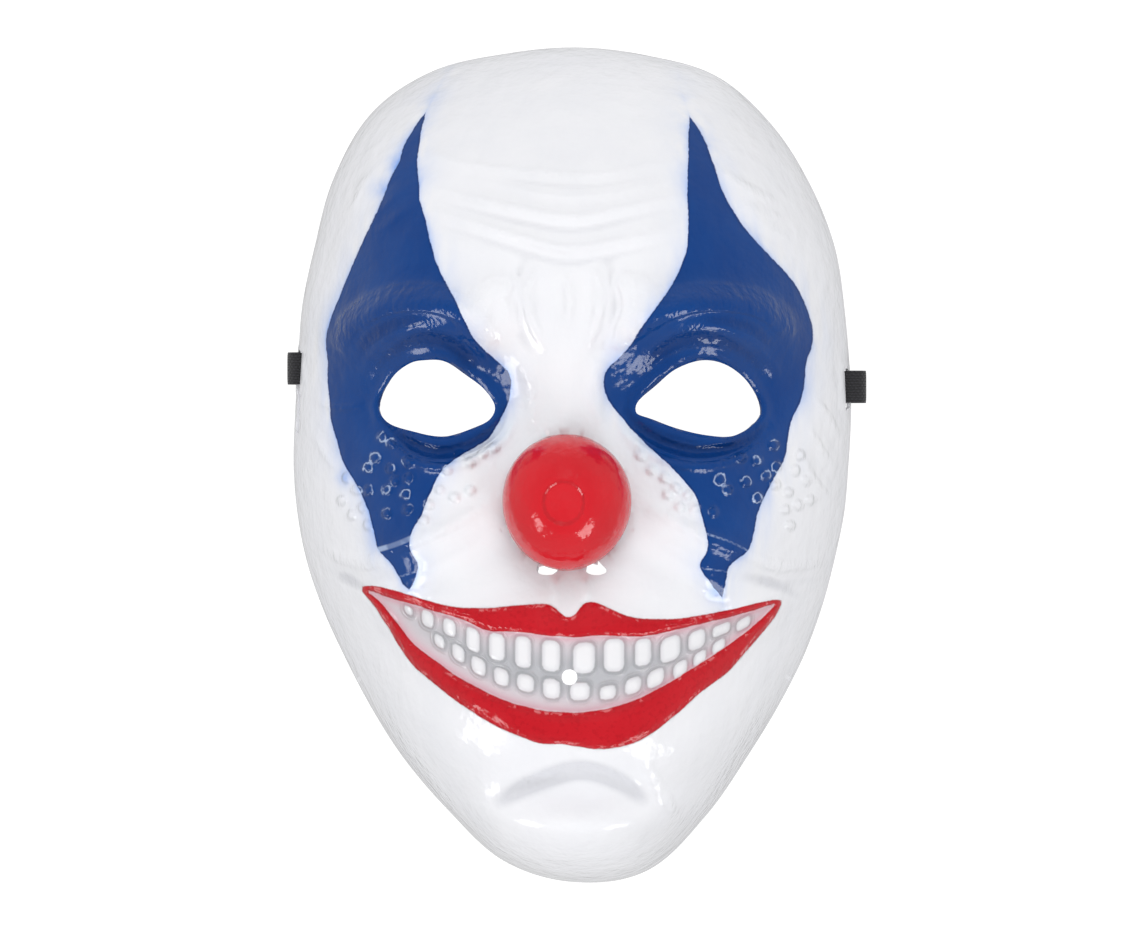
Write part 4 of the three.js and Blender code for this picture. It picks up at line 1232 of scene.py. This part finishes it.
def vertex_normals(points, faces):
    """Normals of the faces round each point, larger ones counting more, averaged over neighbours."""
    a, b, c = (points[faces[:, k]] for k in range(3))
    cross = np.cross(b - a, c - a)
    normal = np.zeros_like(points)
    for k in range(3):
        np.add.at(normal, faces[:, k], cross)
    for _ in range(NORMAL_ROUNDS):
        of_face = normal[faces].sum(axis=1)
        normal = np.zeros_like(points)
        for k in range(3):
            np.add.at(normal, faces[:, k], of_face)
        normal /= np.maximum(np.linalg.norm(normal, axis=1, keepdims=True), 1e-9)
    return normal


def open_edges(faces):
    """Directed edges that only one face uses."""
    edges = {}
    for face in faces:
        for k, start in enumerate(face):
            edges[(start, face[(k + 1) % len(face)])] = True
    return [edge for edge in edges if (edge[1], edge[0]) not in edges]


# %% Faces and points that stay
def not_in_nostrils(faces):
    """Drops the faces whose middle lies in a nostril and outside the nose's foot."""
    x = grid_x.ravel()[faces].mean(axis=1)
    y = grid_y.ravel()[faces].mean(axis=1)
    open_here = np.zeros(len(faces), bool)
    for loop in NOSTRIL_HOLES:
        open_here |= inside_of(loop, x, y)
    return faces[~open_here | inside_of(nose_loop, x, y)]


def used_only(points, faces, numbers):
    """Drops the points that no face uses."""
    used = np.unique(faces)
    place = np.full(len(points), -1)
    place[used] = np.arange(len(used))
    return points[used], place[faces], {key: values[used] for key, values in numbers.items()}


# %% The two skins
def make_sheet():
    """Outer skin, inner skin and the bridges between them, with the paint distances at each point."""
    size = 2 * RINGS + 1
    outer = np.stack([outer_x, outer_y, outer_z], axis=-1).reshape(-1, 3)
    whole, halves = kept_faces(size, cut_distance)
    faces = not_in_nostrils(np.vstack([split_quads(outer, whole), halves]))
    numbers = {key: values.ravel() for key, values in paint.items()}
    outer, faces, numbers = used_only(outer, faces, {**numbers, "ring": grid_ring.ravel()})
    normal = vertex_normals(outer, faces)
    rim = numbers.pop("ring") == RINGS
    normal[rim, 2] = 0
    normal[rim] /= np.linalg.norm(normal[rim], axis=1, keepdims=True)
    inner = outer - WALL * normal
    count = len(outer)
    back = faces[:, ::-1] + count
    bridges = [[b, a, a + count, b + count] for a, b in open_edges(faces.tolist())]
    both = {key: np.concatenate([values, values]) for key, values in numbers.items()}
    inside = np.concatenate([np.zeros(len(faces)), np.ones(len(back)), np.zeros(len(bridges))])
    every = faces.tolist() + back.tolist() + bridges
    return np.vstack([outer, inner]), every, both, inside


sheet_points, sheet_faces, sheet_numbers, sheet_inside = make_sheet()
triangle_count = sum(len(face) - 2 for face in sheet_faces)
print("sheet triangles:", triangle_count)


# %% [markdown]
# ## The painted plastic
#
# The sheet is white and glossy, with blue, red and grey sprayed on. A painted picture could carry the
# colours, but it blurs close up. Here each coat's edge is a distance kept at the points, roughened by
# noise and softened over a fraction of a millimetre, so it stays sharp from any distance.


# %% Edges and grains of the paint
KEPT_NUMBERS = (
    "past_inner", "past_outer", "mouth", "field", "high_tooth", "low_tooth", "nose", "disc", "wart",
    "crease", "ridge", "mist", "inside",
)


def coat(distance, wobble, feather):
    """1 inside a painted edge and 0 outside, over a feather in millimetres."""
    return (distance + wobble).ramp(feather, -feather)


def hump(wire, middle, width):
    """A bell over a distance: e to the minus of ((distance less middle) over width) squared."""
    share = (wire - middle) / width
    return (-(share * share)).math("EXPONENT")


def fading(wire, reach):
    """1 inside an edge, and outside it e to the minus of distance over reach."""
    return (-(wire.math("MAXIMUM", 0.0)) / reach).math("EXPONENT")


def paint_edges(nodes):
    """The numbers kept on the mesh, and the joint edges: the larger or smaller of two distances."""
    edge = SimpleNamespace(**{name: nodes.attribute(name) for name in KEPT_NUMBERS})
    edge.tooth = edge.high_tooth.math("MINIMUM", edge.low_tooth)
    edge.blue = edge.past_inner.math("MAXIMUM", edge.past_outer)
    edge.lip = edge.mouth.math("MAXIMUM", -edge.field)
    return edge


def paint_grains(nodes):
    """Noises from broad to fine, and one drawn out along Y for streaks; waves per metre first."""
    grain = SimpleNamespace(
        coarse=nodes.noise(60.0, detail=4.0),
        lumps=nodes.noise(170.0, detail=2.0),
        dimples=nodes.noise(330.0, detail=2.0, stretch=(1.0, 0.7, 1.0)),
        fine=nodes.noise(700.0, detail=3.0),
        speck=nodes.noise(2500.0, detail=2.0),
        streak=nodes.noise(110.0, detail=4.0, stretch=(1.0, 0.3, 1.0)),
    )
    grain.ragged = (grain.fine - 0.5) * 0.45 + (grain.lumps - 0.5) * 0.9
    return grain


# %% [markdown]
# ## White plastic and its haze
#
# Blank sheet is a cool white, with a little painted shade in the folds and a cold grey painted shade round
# the foot of the nose. Spray that went past the stencil lies on it as a pale blue haze. A second shader
# could hold the haze, but it has the same gloss, so it is a tint.

# %% White plastic
WHITE = colour(240, 241, 246), colour(249, 249, 252)
PAINTED_FOLD_SHADE = colour(205, 206, 213)
PAINTED_FOLD_SHADE_LIMIT = 0.55
HAZE = colour(138, 178, 246)
NOSE_FOOT_PAINTED_SHADE = colour(214, 229, 234)


def white_plastic(nodes, edge, grain, valley):
    """White with painted shade in the valleys, haze that fades as e to the minus of the distance from the
    blue, and painted shade round the foot of the nose.
    """
    white = nodes.mix(grain.coarse, *WHITE)
    # painted shade: grey that deepens down into the crease valleys, up to a limit
    white = nodes.mix((valley * 0.8).math("MINIMUM", PAINTED_FOLD_SHADE_LIMIT), white, PAINTED_FOLD_SHADE)
    near = fading(edge.blue, 0.5) * 0.3
    haze = near + fading(edge.blue, 2.6) * (grain.streak * 2.2 - 0.8).clamped() * 0.9
    haze = haze + edge.mist * (grain.lumps * 1.6 - 0.2).clamped() * 0.75
    base = nodes.mix(haze.clamped(), white, HAZE)
    # painted shade: a cold grey round the foot of the nose, fading over 7 mm, which also cancels the pink
    # light bounced off the ball
    return nodes.mix(fading(edge.nose, 7.0) * 0.7, base, NOSE_FOOT_PAINTED_SHADE)


# %% [markdown]
# ## Grey between the teeth
#
# Between the lips lies a grey wash, with painted shade darkest round the foot of each tooth and a pink
# blush along the lips, and the teeth are nearly white, with painted shade towards their edges. Separate
# materials would meet in hard steps, so each coat is a share of a mix over the last.

# %% Grey wash and teeth
WASH = colour(216, 214, 219), colour(190, 191, 196)
TOOTH_FOOT_PAINTED_SHADE = colour(166, 167, 172)
BLUSH = colour(226, 140, 160)
ENAMEL_AND_EDGE_SHADE = colour(243, 243, 246), colour(230, 230, 234)


def teeth_paint(nodes, edge, grain, base):
    """Wash that deepens with depth in the mouth, painted shade round each tooth, blush at the edge, and
    enamel with painted shade towards its edge.
    """
    field = coat(edge.field, grain.ragged * 0.5, 0.7)
    tooth = coat(edge.tooth, grain.ragged * 0.3, 0.3)
    wash = nodes.mix(edge.field.ramp(-2.0, -9.0), *WASH)
    # painted shade in a band just outside each tooth
    grey = nodes.mix(edge.tooth.ramp(1.4, 0.1) * 0.7, wash, TOOTH_FOOT_PAINTED_SHADE)
    blush = (edge.field.math("ABSOLUTE") / -1.5).math("EXPONENT") * 0.75
    base = nodes.mix(field, base, nodes.mix(blush, grey, BLUSH))
    # teeth lighter in the middle, with painted shade towards their edges
    enamel = nodes.mix(edge.tooth.ramp(-1.6, -0.3), *ENAMEL_AND_EDGE_SHADE)
    return nodes.mix(tooth * field, base, enamel), field


# %% [markdown]
# ## Blue round the eyes
#
# The blue is a full coat, darker at its edge, with painted shade in the folds, and painted highlights
# in broken pale rings round the warts and in bands along a few ridges. Such highlights could be drawn
# into a picture, but a ring of a kept distance, broken up by noise, falls on every wart by itself.

# %% Blue paint
DEEP_BLUE = colour(8, 55, 123), colour(20, 73, 144)
BLUE_EDGE_AND_FOLD_SHADE = colour(8, 34, 88)
PAINTED_HIGHLIGHT_BLUE = colour(186, 205, 238)


def blue_paint(nodes, edge, grain, valley, base):
    """Blue inside its edge, dark in a bell just within it and with painted shade in the folds, and painted
    highlights in a bell round each wart's middle and along the ridges.
    """
    blue = nodes.mix(grain.coarse, *DEEP_BLUE)
    # dark paint in a bell just within the edge, and painted shade in the crease valleys
    outline = hump(edge.blue, -0.2, 0.28) * 0.5 + valley * 0.3
    blue = nodes.mix(outline.clamped(), blue, BLUE_EDGE_AND_FOLD_SHADE)
    # painted highlights: broken pale rings round the warts and bands along the ridges
    wart_edge = edge.wart + (grain.dimples - 0.5) * 2.6 + (grain.fine - 0.5) * 0.6
    painted_highlight = hump(wart_edge, 1.45, 0.24) * grain.lumps.ramp(0.44, 0.56) * 0.9
    painted_highlight = painted_highlight + edge.ridge.ramp(0.3, -0.3) * (0.3 + 0.4 * grain.lumps.ramp(0.4, 0.6))
    blue = nodes.mix(painted_highlight.clamped(), blue, PAINTED_HIGHLIGHT_BLUE)
    return nodes.mix(coat(edge.blue, grain.ragged, 0.16), base, blue)


# %% [markdown]
# ## Red lips and nose
#
# The red of the lips is less even than that of the nose, and their turned edges carry pale painted glints.
# One red could serve for both, but it would look flat, so each has its own pair of tones.

# %% Red paint
LIP_RED = colour(190, 16, 30), colour(209, 32, 44)
LIP_DARK = colour(168, 12, 26)
PAINTED_LIP_GLINT = colour(240, 150, 152)
NOSE_RED = colour(208, 24, 36), colour(222, 40, 50)


def red_paint(nodes, edge, grain, base):
    """Lips with fine dark grains and a broken painted glint just inside their edge, then the nose."""
    lip = nodes.mix(grain.coarse, *LIP_RED)
    lip = nodes.mix(grain.fine.ramp(0.5, 0.66) * 0.3, lip, LIP_DARK)
    # painted highlight: pale glints just inside the lip edge, broken up by noise
    glint = hump(edge.lip, -0.7, 0.4) * grain.lumps.ramp(0.52, 0.6) * grain.fine.ramp(0.42, 0.56)
    lip = nodes.mix(glint * 0.6, lip, PAINTED_LIP_GLINT)
    base = nodes.mix(coat(edge.lip, grain.ragged * 0.6, 0.22), base, lip)
    nose = nodes.mix(grain.coarse, *NOSE_RED)
    return nodes.mix(coat(edge.nose, grain.ragged * 0.3, 0.4), base, nose)


# %% [markdown]
# ## The skin of the plastic
#
# The plastic isn't quite smooth: it has broad waves, lumps and pores, and small steps where teeth and
# lips stand up. A finer grid could hold them, but it would be many times larger, so they bend the
# normal instead.


# %% Fine relief
def fine_relief(edge, grain, field):
    """A sum of grains, with pores in the folds and on warts, and a step at each tooth, lip and disc."""
    folded = edge.crease.math("ABSOLUTE").ramp(0.2, 0.9) + hump(edge.lip, -0.9, 1.0)
    wart = (edge.wart + (grain.dimples - 0.5) * 1.6).ramp(2.2, 0.6)
    height = 0.35 * grain.streak + 0.5 * grain.lumps + 0.35 * grain.coarse
    height = height + 0.04 * grain.fine + 0.008 * grain.speck
    height = height + (0.05 + 0.6 * folded) * grain.dimples + 0.5 * wart
    height = height + 0.35 * (edge.tooth.ramp(0.5, -0.4) * field)
    height = height + 0.25 * (hump(edge.tooth, 1.0, 0.4) * field)
    height = height + 0.25 * edge.lip.ramp(0.3, -0.5)
    return height - 0.95 * edge.disc.ramp(6.8, 5.1)


# %% Material of the sheet
INNER_WHITE = colour(236, 236, 240)
BUMP_DISTANCE = 0.001
PLASTIC_IOR = 1.4


def sheet_material():
    """White plastic, then each coat over the last, bare white inside; rougher inside than outside."""
    nodes = Nodes("painted_sheet")
    edge = paint_edges(nodes)
    grain = paint_grains(nodes)
    # valley: painted shade, a share that grows down into the crease valleys
    valley = edge.crease.ramp(-0.15, -1.3)
    base = white_plastic(nodes, edge, grain, valley)
    base, field = teeth_paint(nodes, edge, grain, base)
    base = blue_paint(nodes, edge, grain, valley, base)
    base = red_paint(nodes, edge, grain, base)
    base = nodes.mix(edge.inside, base, INNER_WHITE)
    roughness = 0.09 + 0.08 * grain.fine + 0.28 * edge.inside
    normal = nodes.bump(fine_relief(edge, grain, field), BUMP_DISTANCE)
    return nodes.finish({"Base Color": base, "Roughness": roughness, "Normal": normal, "IOR": PLASTIC_IOR})


# %% The sheet in the frame
sheet = make_object(
    "moulded_sheet", to_scene(sheet_points), sheet_faces, [sheet_material()], sheet_numbers,
    {"inside": sheet_inside},
)
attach(sheet, "root")
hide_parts("mask_shell")

# %% [markdown]
# ## Floor
#
# The mask was photographed on plain white, which stays white under it and through the eye holes. A lit
# room could do that with care, but a floor that shines by itself does it at any exposure.

# %% Floor
FLOOR_REACH = 3.0
FLOOR_DEPTH = 0.0002
FLOOR_TONE = (0.1, 0.1, 0.1, 1.0), (0.12, 0.12, 0.12, 1.0)
LIT_WHITE = (1.0, 1.0, 1.0, 1.0)


def floor_material():
    """A matt grey, slightly uneven, that gives off its own white light."""
    nodes = Nodes("lit_floor")
    inputs = {"Base Color": nodes.mix(nodes.noise(3.0), *FLOOR_TONE), "Roughness": 0.9}
    inputs.update({"Emission Color": LIT_WHITE, "Emission Strength": 1.0})
    return nodes.finish(inputs)


def make_floor():
    """A square just under the rim; it stays out of reflections, as a backdrop far behind would."""
    corners = FLOOR_REACH * np.array([(-1, -1, 0), (1, -1, 0), (1, 1, 0), (-1, 1, 0)])
    corners = corners - (0, 0, FLOOR_DEPTH)
    made = make_object("floor", corners, [[0, 1, 2, 3]], [floor_material()])
    made.visible_diffuse = False
    made.visible_glossy = False
    return made


floor = make_floor()

# %% [markdown]
# ## Light
#
# Two soft boxes beyond the chin, one at each side, draw the highlights on cheeks, lips and nose. More
# of them would cover the gloss with reflections, so the fills are left out of what it mirrors.


# %% Lights
def direction_angles(aim):
    """Angles that turn a light's own -Z to a direction: tilt from straight down, then turn about Z."""
    flat = np.hypot(aim[0], aim[1])
    return (np.arctan2(flat, -aim[2]), 0, np.arctan2(aim[1], aim[0]) - np.pi / 2)


def area_light(name, place, power, width, height, mirrored):
    """A soft box that faces the mask, seen in its gloss or not."""
    data = bpy.data.lights.new(name, "AREA")
    data.shape = "RECTANGLE"
    data.size = width
    data.size_y = height
    data.energy = power
    made = bpy.data.objects.new(name, data)
    made.location = place
    made.rotation_euler = direction_angles(-np.array(place))
    made.visible_glossy = mirrored
    scene.collection.objects.link(made)


# Lights: name, place in metres, power in watts, width and height in metres, and if the gloss shows it.
LIGHTS = [
    ("left_box", (-0.72, -0.52, 0.48), 3.1, 0.4, 0.32, True),
    ("right_box", (0.58, -0.7, 0.46), 3.1, 0.4, 0.32, True),
    ("high_fill", (0.1, 0.9, 0.9), 5.0, 0.6, 0.5, False),
    ("front_fill", (0.08, 0.4, 1.55), 7.2, 1.2, 1.2, False),
]
for light in LIGHTS:
    area_light(*light)
print("lights:", len(LIGHTS))


# %% Light from all round
def make_world():
    """Soft light from all round: dim overhead, where level plastic mirrors it, and brighter low down."""
    world = bpy.data.worlds.new("studio")
    world.use_nodes = True
    tree = world.node_tree
    way = tree.nodes.new("ShaderNodeTexCoord")
    parts = tree.nodes.new("ShaderNodeSeparateXYZ")
    fall = tree.nodes.new("ShaderNodeMapRange")
    for name, value in (("From Min", 0.1), ("From Max", 0.9), ("To Min", 0.58), ("To Max", 0.25)):
        fall.inputs[name].default_value = value
    tree.links.new(way.outputs["Generated"], parts.inputs["Vector"])
    tree.links.new(parts.outputs["Z"], fall.inputs["Value"])
    tree.links.new(fall.outputs["Result"], tree.nodes["Background"].inputs["Strength"])
    tree.nodes["Background"].inputs["Color"].default_value = (1, 1, 1, 1)
    scene.world = world


make_world()
scene.view_settings.view_transform = "Standard"
